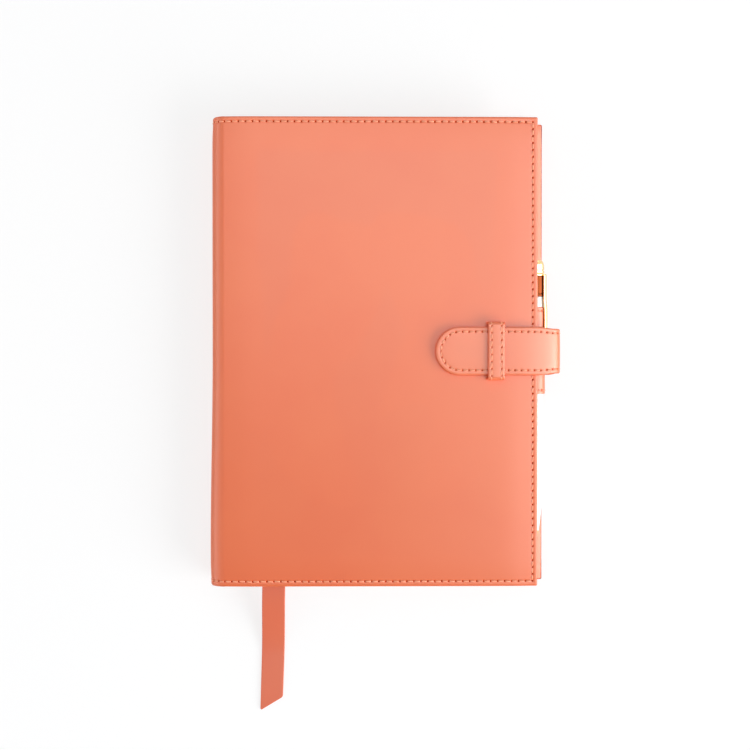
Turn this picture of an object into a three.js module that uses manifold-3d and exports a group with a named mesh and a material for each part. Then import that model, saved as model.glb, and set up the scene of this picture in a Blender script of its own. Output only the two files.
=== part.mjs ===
// Refillable journal: a soft leather cover with a strap, a pen in its loop, a leather bookmark
// and a sewn A5 refill held in two pockets.
// Millimetres. +X to the fore-edge, +Y to the head, +Z up through the front cover.
// The origin is the centre of the back cover's flat outer face.
import * as THREE from 'three';
import { mergeVertices } from 'three/addons/utils/BufferGeometryUtils.js';
import Module from 'manifold-3d';

const wasm = await Module();
wasm.setup();

// A5 refill
const PAGE_WIDTH = 148;
const PAGE_HEIGHT = 210;
const SIGNATURES = 8;
const SPINE_GAP = 3.4;
const LEAF_CLEARANCE = 0.1;
const BACK_ROUNDING = [1.45, 0.55, 0.15, 0];
const FOLD_CHAMFER = 0.35;

// Cover outline: how far the cover stands beyond the leaves, and the back beyond the front
const HEAD_MARGIN = 7.5;
const FORE_MARGIN = 5.6;
const FRONT_SHORTER = 4.7;
const CLOSED_THICKNESS = 20;
const CORNER_R = 2;
const FOLD_R = 7;

// Layers of one cover, from the outside in
const LEATHER_T = 1.0;
const BOARD_T = 1.2;
const LINING_T = 0.5;
const CARD_T = 0.4;
const CARD_ROOM = 0.3;
const POCKET_T = 0.7;
const TURN_IN = 5.3;
const BOARD_CLEARANCE = 0.3;
const EDGE_SET_IN = 0.6;
const POCKET_WIDTH = 62;

// Seam thread, laid in a shallow groove
const SEAM_INSET = 2.5;
const THREAD_W = 0.6;
const THREAD_T = 0.3;
const GROOVE_W = 0.8;
const GROOVE_DEPTH = 0.35;

// Strap
const STRAP_W = 23;
const STRAP_LEATHER_T = 1.2;
const STRAP_BACKING_T = 0.8;
const STRAP_LOW_R = 6.7;
const STRAP_HIGH_R = 9.65;
const STRAP_REACH = 49.1;
const STRAP_SEAM_INSET = 2.3;

// Keeper loop on the front cover
const KEEPER_FROM_EDGE = 15.3;
const KEEPER_W = 8.5;
const KEEPER_LENGTH = 27.2;
const KEEPER_T = 1.0;
const KEEPER_CLEARANCE = 0.3;
const KEEPER_SEAM_INSET = 2.0;

// Pen, its axis along Y, its lengths from the top down
const PEN_TOP_Y = 44.8;
const PEN_PAGE_GAP = 0.35;
const KNOB_LENGTH = 6.7;
const KNOB_GAP = 0.3;
const CLIP_RING_T = 0.8;
const BAND_LENGTH = 10.2;
const BARREL_LENGTH = 113.8;
const TIP_LENGTH = 6.6;
const BAND_R = 4.6;
const BAND_BEVEL = 0.15;
const BARREL_TOP_R = 4.35;
const BARREL_TAPER = [
  [3.75, 22],
  [3.45, 13],
  [2.8, 6],
  [2.0, 0],
];
const PEN_BORE_R = 2.1;
const INK_R = 1.55;
const INK_BELOW_BAND = 2.8;
const INK_NECK = 8;
const NIB_R = 0.5;
const NIB_BORE_R = 0.8;
const BARREL_WALL_STEP = 0.5;
const TIP_TOP_R = 1.9;
const TIP_WALL = 0.2;
const NIB_RETRACTED = 0.8;
const CLIP_W = 3.4;
const CLIP_T = 1.0;
const CLIP_LENGTH = 39.8;
const CLIP_GAP = 0.3;
const PEN_FACETS = 24;

// Pen loop
const LOOP_BORE_R = 4.55;
const LOOP_T = 0.65;
const LOOP_LENGTH = 42;
const LOOP_FOOT_SET_IN = 0.75;
const LOOP_FOOT_T = 0.8;
const LOOP_SEAM_INSET = 1.8;

// Bookmark
const MARK_FROM_SPINE = 24.1;
const MARK_W = 11.2;
const MARK_T = 1.0;
const MARK_BELOW_HEAD = 5;
const MARK_HINGE_OUT = 1.5;
const MARK_DROOP_RUN = 36;
const MARK_BEYOND = 64.1;
const MARK_CUT = 6.7;
const MARK_DRIFT = -1.8;
const MARK_TOP_GAP = 0.05;
const CHANNEL_CLEARANCE = 0.3;

// Values that follow from the sizes above
const halfH = PAGE_HEIGHT / 2 + HEAD_MARGIN;
const backWidth = SPINE_GAP - FOLD_R + PAGE_WIDTH + FORE_MARGIN + FRONT_SHORTER;
const foldX = -backWidth / 2;
const backEdge = backWidth / 2;
const frontEdge = backEdge - FRONT_SHORTER;
const linerIn = LEATHER_T + BOARD_T;
const cardIn = linerIn + LINING_T;
const flapIn = cardIn + CARD_T + CARD_ROOM;
const stackT = flapIn + POCKET_T;
const middleZ = CLOSED_THICKNESS / 2;
const spineX = foldX - FOLD_R;
const blockBackX = spineX + SPINE_GAP;
const blockFrontX = blockBackX + PAGE_WIDTH;
const cardEdge = frontEdge - TURN_IN - BOARD_CLEARANCE;
const strapT = STRAP_LEATHER_T + STRAP_BACKING_T;
const strapTipX = frontEdge - STRAP_REACH;
const keeperEnd = frontEdge - KEEPER_FROM_EDGE;
const keeperX = [keeperEnd - KEEPER_W, keeperEnd];
const loopR = LOOP_BORE_R + LOOP_T;
const penX = blockFrontX + PEN_PAGE_GAP + loopR;
const knobY = PEN_TOP_Y - KNOB_LENGTH;
const ringTop = knobY - KNOB_GAP;
const bandTop = ringTop - CLIP_RING_T;
const bandEnd = bandTop - BAND_LENGTH;
const barrelEnd = bandEnd - BARREL_LENGTH;
const tipEnd = barrelEnd - TIP_LENGTH;
const markX = [spineX + MARK_FROM_SPINE, spineX + MARK_FROM_SPINE + MARK_W];
const markHeadY = PAGE_HEIGHT / 2 - MARK_BELOW_HEAD;
const markHingeY = -halfH - MARK_HINGE_OUT;
const markEndY = -halfH - MARK_BEYOND;

const COLOURS = {
  leather: [0xd9664f, 0.55, 0],
  lining: [0xc9604c, 0.7, 0],
  board: [0xb9a184, 0.9, 0],
  thread: [0xe88f78, 0.8, 0],
  card: [0xd8c9ad, 0.9, 0],
  paper: [0xf3ecdc, 0.95, 0],
  lacquer: [0xf4f0e8, 0.2, 0],
  gold: [0xd9ab5c, 0.25, 1],
  brass: [0xc29a4d, 0.35, 1],
};

const group = new THREE.Group();
group.name = 'refillable_journal';

// Closed triangle geometry of a shape, without normals, so that edges are shared
function welded(geometry) {
  const copy = geometry.clone();
  copy.deleteAttribute('normal');
  copy.deleteAttribute('uv');
  return mergeVertices(copy, 1e-5);
}

// A geometry as a solid for cutting and joining; collapsed triangles at a pole are left out
function solid(geometry) {
  const merged = welded(geometry);
  const index = merged.index.array;
  const kept = [];
  for (let i = 0; i < index.length; i += 3) {
    const [a, b, c] = [index[i], index[i + 1], index[i + 2]];
    if (a !== b && b !== c && c !== a) {
      kept.push(a, b, c);
    }
  }
  const mesh = new wasm.Mesh({
    numProp: 3,
    vertProperties: new Float32Array(merged.attributes.position.array),
    triVerts: new Uint32Array(kept),
  });
  return new wasm.Manifold(mesh);
}

function asGeometry(manifold) {
  const mesh = manifold.getMesh();
  const geometry = new THREE.BufferGeometry();
  geometry.setAttribute('position', new THREE.BufferAttribute(mesh.vertProperties, 3));
  geometry.setIndex(new THREE.BufferAttribute(mesh.triVerts, 1));
  geometry.computeVertexNormals();
  return geometry;
}

function add(name, finish, shape) {
  const [color, roughness, metalness] = COLOURS[finish];
  const material = new THREE.MeshStandardMaterial({ color, roughness, metalness });
  const mesh = new THREE.Mesh(asGeometry(shape), material);
  mesh.name = name;
  group.add(mesh);
}

// A box between two limits on each axis
function box(x, y, z) {
  const geometry = new THREE.BoxGeometry(x[1] - x[0], y[1] - y[0], z[1] - z[0]);
  geometry.translate((x[0] + x[1]) / 2, (y[0] + y[1]) / 2, (z[0] + z[1]) / 2);
  return solid(geometry);
}

// An outline in X and Y, raised between two heights
function plate(shape, z) {
  const geometry = new THREE.ExtrudeGeometry(shape, {
    depth: z[1] - z[0],
    bevelEnabled: false,
    curveSegments: 6,
  });
  geometry.translate(0, 0, z[0]);
  return solid(geometry);
}

// An outline in X and Z, drawn out along Y
function prism(points, y) {
  const shape = new THREE.Shape(points.map(([x, z]) => new THREE.Vector2(x, z)));
  const geometry = new THREE.ExtrudeGeometry(shape, { depth: y[1] - y[0], bevelEnabled: false });
  geometry.rotateX(Math.PI / 2);
  geometry.translate(0, y[1], 0);
  return solid(geometry);
}

// A closed profile of radius and length, turned about the pen's axis
function turned(points) {
  const profile = [...points, points[0]].map(([r, y]) => new THREE.Vector2(r, y));
  const geometry = new THREE.LatheGeometry(profile, PEN_FACETS);
  geometry.translate(penX, 0, middleZ);
  const made = solid(geometry);
  return made.volume() < 0 ? solid(flipped(geometry)) : made;
}

function flipped(geometry) {
  const copy = geometry.clone();
  const index = copy.index.array;
  for (let i = 0; i < index.length; i += 3) {
    [index[i], index[i + 1]] = [index[i + 1], index[i]];
  }
  return copy;
}

// Points on an arc in a plane, both ends included
function arc(cx, cz, r, from, to, steps) {
  const points = [];
  for (let i = 0; i <= steps; i += 1) {
    const a = THREE.MathUtils.degToRad(from + ((to - from) * i) / steps);
    points.push([cx + r * Math.cos(a), cz + r * Math.sin(a)]);
  }
  return points;
}

// Outline of a cover layer: square at the spine, rounded corners at the fore-edge
function coverOutline(x0, x1, half, r) {
  const shape = new THREE.Shape();
  shape.moveTo(x0, -half);
  shape.lineTo(x1 - r, -half);
  shape.absarc(x1 - r, -half + r, r, -Math.PI / 2, 0, false);
  shape.lineTo(x1, half - r);
  shape.absarc(x1 - r, half - r, r, 0, Math.PI / 2, false);
  shape.lineTo(x0, half);
  shape.closePath();
  return shape;
}

// Outline of a thread line along three sides, open towards the spine
function seamOutline(x0, x1, half, width) {
  const w = width / 2;
  const shape = new THREE.Shape();
  shape.moveTo(x0, -half - w);
  shape.lineTo(x1 + w, -half - w);
  shape.lineTo(x1 + w, half + w);
  shape.lineTo(x0, half + w);
  shape.lineTo(x0, half - w);
  shape.lineTo(x1 - w, half - w);
  shape.lineTo(x1 - w, -half + w);
  shape.lineTo(x0, -half + w);
  shape.closePath();
  return shape;
}

// The layers of one cover. Depths are measured inwards from its outer face.
function cover(side, edge) {
  const at = (a, b) => (side === 'back' ? [a, b] : [CLOSED_THICKNESS - b, CLOSED_THICKNESS - a]);
  const beyond = 1;
  const inner = halfH - TURN_IN;

  let leather = plate(coverOutline(foldX, edge, halfH, CORNER_R), at(0, linerIn));
  leather = leather.subtract(
    box([foldX - beyond, edge - TURN_IN], [-inner, inner], at(LEATHER_T, linerIn + beyond)),
  );
  if (side === 'back') {
    leather = leather.subtract(
      box(
        [edge - TURN_IN - beyond, edge + beyond],
        [-STRAP_W / 2, STRAP_W / 2],
        at(LEATHER_T, linerIn + beyond),
      ),
    );
  }
  const groove = seamOutline(foldX - beyond, edge - SEAM_INSET, halfH - SEAM_INSET, GROOVE_W);
  leather = leather.subtract(plate(groove, at(-beyond, GROOVE_DEPTH)));
  add(`${side}_leather`, 'leather', leather);

  const thread = seamOutline(
    foldX + BOARD_CLEARANCE,
    edge - SEAM_INSET,
    halfH - SEAM_INSET,
    THREAD_W,
  );
  add(`${side}_stitching`, 'thread', plate(thread, at(GROOVE_DEPTH - THREAD_T, GROOVE_DEPTH)));

  const boardHalf = inner - BOARD_CLEARANCE;
  const boardEdge = edge - TURN_IN - BOARD_CLEARANCE;
  add(
    `${side}_board`,
    'board',
    plate(coverOutline(foldX + 2, boardEdge, boardHalf, CORNER_R), at(LEATHER_T, linerIn)),
  );

  const liningHalf = halfH - EDGE_SET_IN;
  const liningEdge = edge - EDGE_SET_IN;
  add(
    `${side}_lining`,
    'lining',
    plate(coverOutline(foldX, liningEdge, liningHalf, CORNER_R), at(linerIn, cardIn)),
  );

  let pocket = plate(
    coverOutline(edge - POCKET_WIDTH, liningEdge, liningHalf, CORNER_R),
    at(cardIn, stackT),
  );
  const mouthHalf = liningHalf - TURN_IN + EDGE_SET_IN;
  pocket = pocket.subtract(
    box(
      [edge - POCKET_WIDTH - beyond, edge - TURN_IN],
      [-mouthHalf, mouthHalf],
      at(cardIn - beyond, flapIn),
    ),
  );
  add(`${side}_pocket`, 'lining', pocket);

  const cardHalf = PAGE_HEIGHT / 2;
  add(
    `refill_${side}_card`,
    'card',
    box([foldX + BOARD_CLEARANCE, cardEdge], [-cardHalf, cardHalf], at(cardIn, cardIn + CARD_T)),
  );
}

cover('back', backEdge);
cover('front', frontEdge);

// The spine: two quarter rounds and a flat strip, each of leather with a lining
const spineY = [-halfH, halfH];
const spineLiningY = [-halfH + EDGE_SET_IN, halfH - EDGE_SET_IN];
const foldSteps = 8;
const lowZ = FOLD_R;
const highZ = CLOSED_THICKNESS - FOLD_R;

function quarter(centreZ, from, to, outer, inner) {
  return [
    ...arc(foldX, centreZ, outer, from, to, foldSteps),
    ...arc(foldX, centreZ, inner, to, from, foldSteps),
  ];
}

const leatherIn = FOLD_R - LEATHER_T;
const liningIn = leatherIn - LINING_T;
add('spine_leather_a', 'leather', prism(quarter(lowZ, 270, 180, FOLD_R, leatherIn), spineY));
add('spine_lining_a', 'lining', prism(quarter(lowZ, 270, 180, leatherIn, liningIn), spineLiningY));
add('spine_leather_b', 'leather', box([spineX, spineX + LEATHER_T], spineY, [lowZ, highZ]));
add(
  'spine_lining_b',
  'lining',
  box([spineX + LEATHER_T, spineX + LEATHER_T + LINING_T], spineLiningY, [lowZ, highZ]),
);
add('spine_leather_c', 'leather', prism(quarter(highZ, 180, 90, FOLD_R, leatherIn), spineY));
add('spine_lining_c', 'lining', prism(quarter(highZ, 180, 90, leatherIn, liningIn), spineLiningY));

const cardX = spineX + LEATHER_T + LINING_T;
add(
  'refill_spine_card',
  'card',
  box(
    [cardX, cardX + CARD_T],
    [-PAGE_HEIGHT / 2, PAGE_HEIGHT / 2],
    [lowZ + BOARD_CLEARANCE, highZ - BOARD_CLEARANCE],
  ),
);

// The book block: folded signatures, the outer ones set in so that the back is rounded
const markTop = middleZ - MARK_TOP_GAP;
const perHalf = SIGNATURES / 2;
const lowerT = (middleZ - stackT) / perHalf;
for (let i = 0; i < SIGNATURES; i += 1) {
  const fromOutside = Math.min(i, SIGNATURES - 1 - i);
  const back = blockBackX + BACK_ROUNDING[fromOutside];
  const upperHalf = i >= perHalf;
  const thick = upperHalf ? lowerT - LEAF_CLEARANCE / perHalf : lowerT;
  const z0 = upperHalf ? middleZ + (i - perHalf) * thick : stackT + i * thick;
  const z1 = z0 + thick;
  const outline = [
    [back + FOLD_CHAMFER, z0],
    [blockFrontX, z0],
    [blockFrontX, z1],
    [back + FOLD_CHAMFER, z1],
    [back, z1 - FOLD_CHAMFER],
    [back, z0 + FOLD_CHAMFER],
  ];
  let signature = prism(outline, [-PAGE_HEIGHT / 2, PAGE_HEIGHT / 2]);
  if (i === perHalf - 1) {
    signature = signature.subtract(
      box(
        [markX[0] - CHANNEL_CLEARANCE, markX[1] + CHANNEL_CLEARANCE],
        [-PAGE_HEIGHT, markHeadY + CHANNEL_CLEARANCE],
        [markTop - MARK_T, middleZ + 1],
      ),
    );
  }
  add(`signature_${i + 1}`, 'paper', signature);
}

// The bookmark: flat between the leaves, then drooping from the tail edge to the table
add('bookmark_ribbon', 'leather', box(markX, [markHingeY, markHeadY], [markTop - MARK_T, markTop]));

const droopEnd = markHingeY - MARK_DROOP_RUN;
const droopSteps = 10;
const upper = [];
const lower = [];
for (let i = 0; i <= droopSteps; i += 1) {
  const t = i / droopSteps;
  const ease = t * t * (3 - 2 * t);
  const y = markHingeY + (droopEnd - markHingeY) * t;
  const top = markTop + (MARK_T - markTop) * ease;
  upper.push([y, top]);
  lower.push([y, top - MARK_T]);
}
upper.push([markEndY, MARK_T]);
lower.push([markEndY, 0]);
const tailShape = new THREE.Shape(
  [...upper, ...lower.reverse()].map(([y, z]) => new THREE.Vector2(y, z)),
);
const tailGeometry = new THREE.ExtrudeGeometry(tailShape, {
  depth: markX[1] - markX[0],
  bevelEnabled: false,
});
// The outline's first axis becomes Y, its second Z and the width X, with a slight drift to the left
const drift = MARK_DRIFT / (markEndY - markHingeY);
const placed = new THREE.Matrix4().set(
  drift, 0, 1, markX[0] - drift * markHingeY,
  1, 0, 0, 0,
  0, 1, 0, 0,
  0, 0, 0, 1,
);
tailGeometry.applyMatrix4(placed);
const cutShape = new THREE.Shape([
  new THREE.Vector2(markX[0] + MARK_DRIFT, markEndY),
  new THREE.Vector2(markX[0] + MARK_DRIFT, markEndY - 5),
  new THREE.Vector2(markX[1] + 5, markEndY - 5),
  new THREE.Vector2(markX[1] + 5, markEndY + MARK_CUT + 3),
  new THREE.Vector2(markX[1] + MARK_DRIFT, markEndY + MARK_CUT),
]);
add('bookmark_tail', 'leather', solid(tailGeometry).subtract(plate(cutShape, [-1, MARK_T + 1])));

// The strap's outer face leaves the back cover's edge under its lining, bends up and over the
// fore-edge and lies flat on the front cover. It is cut in two halfway up.
const lowCentreZ = LEATHER_T + STRAP_LOW_R;
const strapX = backEdge + STRAP_LOW_R;
const strapTop = CLOSED_THICKNESS + strapT;
const highCentreX = strapX - STRAP_HIGH_R;
const highCentreZ = strapTop - STRAP_HIGH_R;
const strapY = [-STRAP_W / 2, STRAP_W / 2];
const bendSteps = 10;

function lowBend(outer, inner) {
  return [
    ...arc(backEdge, lowCentreZ, STRAP_LOW_R - outer, 270, 360, bendSteps),
    [strapX - outer, middleZ],
    [strapX - inner, middleZ],
    ...arc(backEdge, lowCentreZ, STRAP_LOW_R - inner, 360, 270, bendSteps),
  ];
}

function highBend(outer, inner) {
  return [
    [strapX - outer, middleZ],
    ...arc(highCentreX, highCentreZ, STRAP_HIGH_R - outer, 0, 90, bendSteps),
    ...arc(highCentreX, highCentreZ, STRAP_HIGH_R - inner, 90, 0, bendSteps),
    [strapX - inner, middleZ],
  ];
}

add(
  'strap_root',
  'leather',
  box([backEdge - TURN_IN, backEdge], strapY, [LEATHER_T, LEATHER_T + STRAP_LEATHER_T]),
);
add('strap_leather_a', 'leather', prism(lowBend(0, STRAP_LEATHER_T), strapY));
add('strap_backing_a', 'lining', prism(lowBend(STRAP_LEATHER_T, strapT), strapY));
add('strap_leather_b', 'leather', prism(highBend(0, STRAP_LEATHER_T), strapY));
add('strap_backing_b', 'lining', prism(highBend(STRAP_LEATHER_T, strapT), strapY));

function tongueOutline(x1, half) {
  const centre = strapTipX + STRAP_W / 2;
  const shape = new THREE.Shape();
  shape.moveTo(x1, half);
  shape.lineTo(centre, half);
  shape.absarc(centre, 0, half, Math.PI / 2, (Math.PI * 3) / 2, false);
  shape.lineTo(x1, -half);
  shape.closePath();
  return shape;
}

// A thread line round the tongue: the space between two outlines, one inside the other
function tongueSeam(x1, width, z) {
  const middle = STRAP_W / 2 - STRAP_SEAM_INSET;
  const outside = plate(tongueOutline(x1, middle + width / 2), z);
  const cut = plate(tongueOutline(x1 + 1, middle - width / 2), [z[0] - 1, z[1] + 1]);
  return outside.subtract(cut);
}

let tongue = plate(
  tongueOutline(highCentreX, STRAP_W / 2),
  [CLOSED_THICKNESS + STRAP_BACKING_T, strapTop],
);
tongue = tongue.subtract(
  tongueSeam(highCentreX + 1, GROOVE_W, [strapTop - GROOVE_DEPTH, strapTop + 1]),
);
add('tongue_leather', 'leather', tongue);
add(
  'tongue_backing',
  'lining',
  plate(
    tongueOutline(highCentreX, STRAP_W / 2),
    [CLOSED_THICKNESS, CLOSED_THICKNESS + STRAP_BACKING_T],
  ),
);
add(
  'tongue_stitching',
  'thread',
  tongueSeam(
    highCentreX - BOARD_CLEARANCE,
    THREAD_W,
    [strapTop - GROOVE_DEPTH, strapTop - GROOVE_DEPTH + THREAD_T],
  ),
);

// The keeper loop: a bridge over the tongue, with a row of thread along each long edge
const keeperHalf = KEEPER_LENGTH / 2;
const keeperRoomZ = strapTop + KEEPER_CLEARANCE;
const keeperTop = keeperRoomZ + KEEPER_T;
const keeperRoomY = STRAP_W / 2 + KEEPER_CLEARANCE;
const keeperRows = [keeperX[0] + KEEPER_SEAM_INSET, keeperX[1] - KEEPER_SEAM_INSET];
let keeper = box(keeperX, [-keeperHalf, keeperHalf], [CLOSED_THICKNESS, keeperTop]).subtract(
  box(
    [keeperX[0] - 1, keeperX[1] + 1],
    [-keeperRoomY, keeperRoomY],
    [CLOSED_THICKNESS - 1, keeperRoomZ],
  ),
);
keeperRows.forEach((x, i) => {
  const half = keeperHalf - 1;
  keeper = keeper.subtract(
    box(
      [x - GROOVE_W / 2, x + GROOVE_W / 2],
      [-half - BOARD_CLEARANCE, half + BOARD_CLEARANCE],
      [keeperTop - GROOVE_DEPTH, keeperTop + 1],
    ),
  );
  add(
    `keeper_stitching_${i + 1}`,
    'thread',
    box(
      [x - THREAD_W / 2, x + THREAD_W / 2],
      [-half, half],
      [keeperTop - GROOVE_DEPTH, keeperTop - GROOVE_DEPTH + THREAD_T],
    ),
  );
});
add('keeper_loop', 'leather', keeper);

// The pen loop: a tube of leather with a flat foot sewn on the back pocket
const loopY = [-LOOP_LENGTH / 2, LOOP_LENGTH / 2];
let penLoop = turned([
  [LOOP_BORE_R, loopY[0]],
  [loopR, loopY[0]],
  [loopR, loopY[1]],
  [LOOP_BORE_R, loopY[1]],
]);
const footX = [blockFrontX + PEN_PAGE_GAP, backEdge - LOOP_FOOT_SET_IN];
const foot = box(footX, loopY, [stackT, stackT + LOOP_FOOT_T]);
const bore = turned([
  [0, loopY[0] - 1],
  [LOOP_BORE_R, loopY[0] - 1],
  [LOOP_BORE_R, loopY[1] + 1],
  [0, loopY[1] + 1],
]);
penLoop = penLoop.add(foot).subtract(bore);
const loopRows = [loopY[1] - LOOP_SEAM_INSET, loopY[0] + LOOP_SEAM_INSET];
loopRows.forEach((y, i) => {
  const ring = (depth, thick, wide) =>
    turned([
      [loopR - depth, y - wide / 2],
      [loopR - depth + thick, y - wide / 2],
      [loopR - depth + thick, y + wide / 2],
      [loopR - depth, y + wide / 2],
    ]);
  const seamAbove = box([penX - 10, penX + 10], [y - 2, y + 2], [middleZ - 2, middleZ + 10]);
  penLoop = penLoop.subtract(ring(GROOVE_DEPTH, 1, GROOVE_W).intersect(seamAbove));
  const threadAbove = box([penX - 10, penX + 10], [y - 2, y + 2], [middleZ - 1.7, middleZ + 10]);
  add(
    `pen_loop_stitching_${i + 1}`,
    'thread',
    ring(GROOVE_DEPTH - 0.02, THREAD_T, THREAD_W).intersect(threadAbove),
  );
});
add('pen_loop', 'leather', penLoop);

// The pen
add(
  'pen_barrel',
  'lacquer',
  turned([
    [BARREL_TOP_R, bandEnd],
    ...BARREL_TAPER.map(([r, up]) => [r, barrelEnd + up]),
    [NIB_BORE_R + BARREL_WALL_STEP, barrelEnd],
    [PEN_BORE_R, barrelEnd + INK_NECK],
    [PEN_BORE_R, bandEnd],
  ]),
);
add(
  'pen_tip',
  'gold',
  turned([
    [TIP_TOP_R, barrelEnd],
    [NIB_BORE_R + TIP_WALL + 0.1, tipEnd + 0.6],
    [NIB_BORE_R + TIP_WALL, tipEnd],
    [NIB_BORE_R, tipEnd],
    [NIB_BORE_R + BARREL_WALL_STEP, barrelEnd],
  ]),
);
const bandEdgeR = BAND_R - BAND_BEVEL;
add(
  'pen_band',
  'gold',
  turned([
    [PEN_BORE_R, bandEnd],
    [bandEdgeR, bandEnd],
    [BAND_R, bandEnd + 0.6],
    [BAND_R, bandTop - 0.6],
    [bandEdgeR, bandTop],
    [PEN_BORE_R, bandTop],
  ]),
);

const clipX = penX + loopR + CLIP_GAP;
const clipZ = [middleZ - CLIP_W / 2, middleZ + CLIP_W / 2];
const clip = turned([
  [PEN_BORE_R, bandTop],
  [bandEdgeR, bandTop],
  [bandEdgeR, ringTop],
  [PEN_BORE_R, ringTop],
])
  .add(box([penX + PEN_BORE_R + 1, clipX + CLIP_T], [bandTop, ringTop], clipZ))
  .add(box([clipX, clipX + CLIP_T], [ringTop - CLIP_LENGTH, ringTop], clipZ));
add('pen_clip', 'gold', clip);

add(
  'pen_knob',
  'gold',
  turned([
    [0, knobY],
    [BAND_R - 0.1, knobY],
    [BAND_R, knobY + 0.7],
    [BAND_R - 0.2, PEN_TOP_Y - 1.6],
    [BAND_R - 0.7, PEN_TOP_Y - 0.3],
    [BAND_R - 1.4, PEN_TOP_Y],
    [0, PEN_TOP_Y],
  ]),
);
const inkTop = bandEnd - INK_BELOW_BAND;
add(
  'pen_cam',
  'brass',
  turned([
    [0, inkTop + KNOB_GAP],
    [PEN_BORE_R - KNOB_GAP, inkTop + KNOB_GAP],
    [PEN_BORE_R - KNOB_GAP, knobY],
    [0, knobY],
  ]),
);
add(
  'pen_ink',
  'brass',
  turned([
    [0, tipEnd + NIB_RETRACTED],
    [NIB_R * 0.6, tipEnd + NIB_RETRACTED],
    [NIB_R, tipEnd + NIB_RETRACTED + 0.5],
    [NIB_R, barrelEnd + INK_NECK / 2 + 0.4],
    [INK_R, barrelEnd + INK_NECK],
    [INK_R, inkTop],
    [0, inkTop],
  ]),
);

export default group;
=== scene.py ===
"""Refillable leather journal with a strap, keeper, pen loop, pen, bookmark and sewn refill.

Sizes inside the shape functions are in millimetres, in the part's frame: +X to the fore-edge, +Y to
the head, +Z up through the front cover. Meshes are stored in metres.
"""
import math

import bpy
import bmesh
import numpy as np
from bpy.props import FloatProperty, FloatVectorProperty, IntProperty, PointerProperty
from mathutils import Euler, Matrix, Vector


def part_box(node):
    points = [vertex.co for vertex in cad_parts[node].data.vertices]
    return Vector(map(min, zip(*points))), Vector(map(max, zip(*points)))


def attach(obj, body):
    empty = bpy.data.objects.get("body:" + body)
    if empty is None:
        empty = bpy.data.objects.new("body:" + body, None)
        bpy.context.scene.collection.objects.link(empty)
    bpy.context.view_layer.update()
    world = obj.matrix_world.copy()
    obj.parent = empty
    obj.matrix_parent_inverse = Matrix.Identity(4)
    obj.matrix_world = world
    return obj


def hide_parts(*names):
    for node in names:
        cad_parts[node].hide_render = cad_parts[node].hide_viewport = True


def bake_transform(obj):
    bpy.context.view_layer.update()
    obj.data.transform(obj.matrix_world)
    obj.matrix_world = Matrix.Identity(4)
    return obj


bl_info = {
    "name": "Refillable Journal",
    "version": (1, 0, 0),
    "blender": (4, 5, 0),
    "location": "View3D > Sidebar > Journal",
    "description": "Builds a leather journal cover with its refill, strap, pen and bookmark",
    "category": "Add Mesh",
}

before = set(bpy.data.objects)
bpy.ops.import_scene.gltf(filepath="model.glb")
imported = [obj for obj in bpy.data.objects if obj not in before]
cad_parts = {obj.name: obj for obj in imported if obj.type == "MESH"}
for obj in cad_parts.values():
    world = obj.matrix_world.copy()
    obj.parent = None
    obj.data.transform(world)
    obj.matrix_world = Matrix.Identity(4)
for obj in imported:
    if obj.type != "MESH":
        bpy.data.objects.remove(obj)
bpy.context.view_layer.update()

MM = 0.001


def node_box(name):
    """Lowest and highest corners of a CAD node, in millimetres."""
    lo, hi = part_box(name)
    return np.array(lo) / MM, np.array(hi) / MM


# Sizes read from the frame
FRONT_LO, FRONT_HI = node_box("front_leather")
FOLD_X, FRONT_X = FRONT_LO[0], FRONT_HI[0]
HALF, CLOSED = FRONT_HI[1], FRONT_HI[2]
COVER_T = CLOSED - FRONT_LO[2]
BACK_X = node_box("back_leather")[1][0]
MIDDLE_Z = CLOSED / 2
SPINE_X = node_box("spine_leather_a")[0][0]
FOLD_R = FOLD_X - SPINE_X
LINING_LO, LINING_HI = node_box("front_lining")
LINING_T = LINING_HI[2] - LINING_LO[2]
POCKET_HI = node_box("back_pocket")[1]
STACK_Z = POCKET_HI[2]
LEATHER_T = CLOSED - node_box("front_board")[1][2]
PAGE_HALF = node_box("signature_1")[1][1]

# Sewing and turned edges
SEAM_INSET = 2.5
SEAM_PITCH = 3.35
STRAP_PITCH = 3.1
KEEPER_PITCH = 3.3
HOLE_ACROSS, HOLE_ALONG, HOLE_DEPTH = 0.38, 0.46, 0.55
CHANNEL_WIDTH, CHANNEL_DEPTH = 0.8, 0.03
TURN_IN = 5.3
FOLD_SINK = 0.5
FOLD_REACH = 15.0
FOLD_SLOPE = 2 * FOLD_SINK / FOLD_REACH
SPAN_Y = np.array([0, 1.0, 0])
SPAN_X = np.array([1.0, 0, 0])


def length_setting(name, text, value, low, high):
    """A property for a length given in millimetres."""
    return FloatProperty(
        name=name, description=text, default=value * MM, min=low * MM, max=high * MM, unit="LENGTH")


def colour_setting(name, text, value):
    """A property for a colour."""
    return FloatVectorProperty(
        name=name, description=text, default=value, subtype="COLOR", size=3, min=0.0, max=1.0)


class JournalSizes(bpy.types.PropertyGroup):
    """Sizes of the sewing and of the padding."""

    seam_pitch: length_setting(
        "Stitch length", "Distance between two awl holes along a cover seam", SEAM_PITCH, 2, 6)
    strap_pitch: length_setting(
        "Strap stitch length", "Distance between two awl holes along the strap", STRAP_PITCH, 2, 6)
    thread_radius: length_setting("Thread radius", "Radius of the waxed thread", 0.31, 0.1, 0.6)
    padding: length_setting(
        "Cover padding", "How far the leather falls from the panel to its edge", 0.55, 0, 1)
    gathers: IntProperty(
        name="Gathers", description="Folded gathers drawn in each signature", default=6, min=2, max=10)


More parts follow.
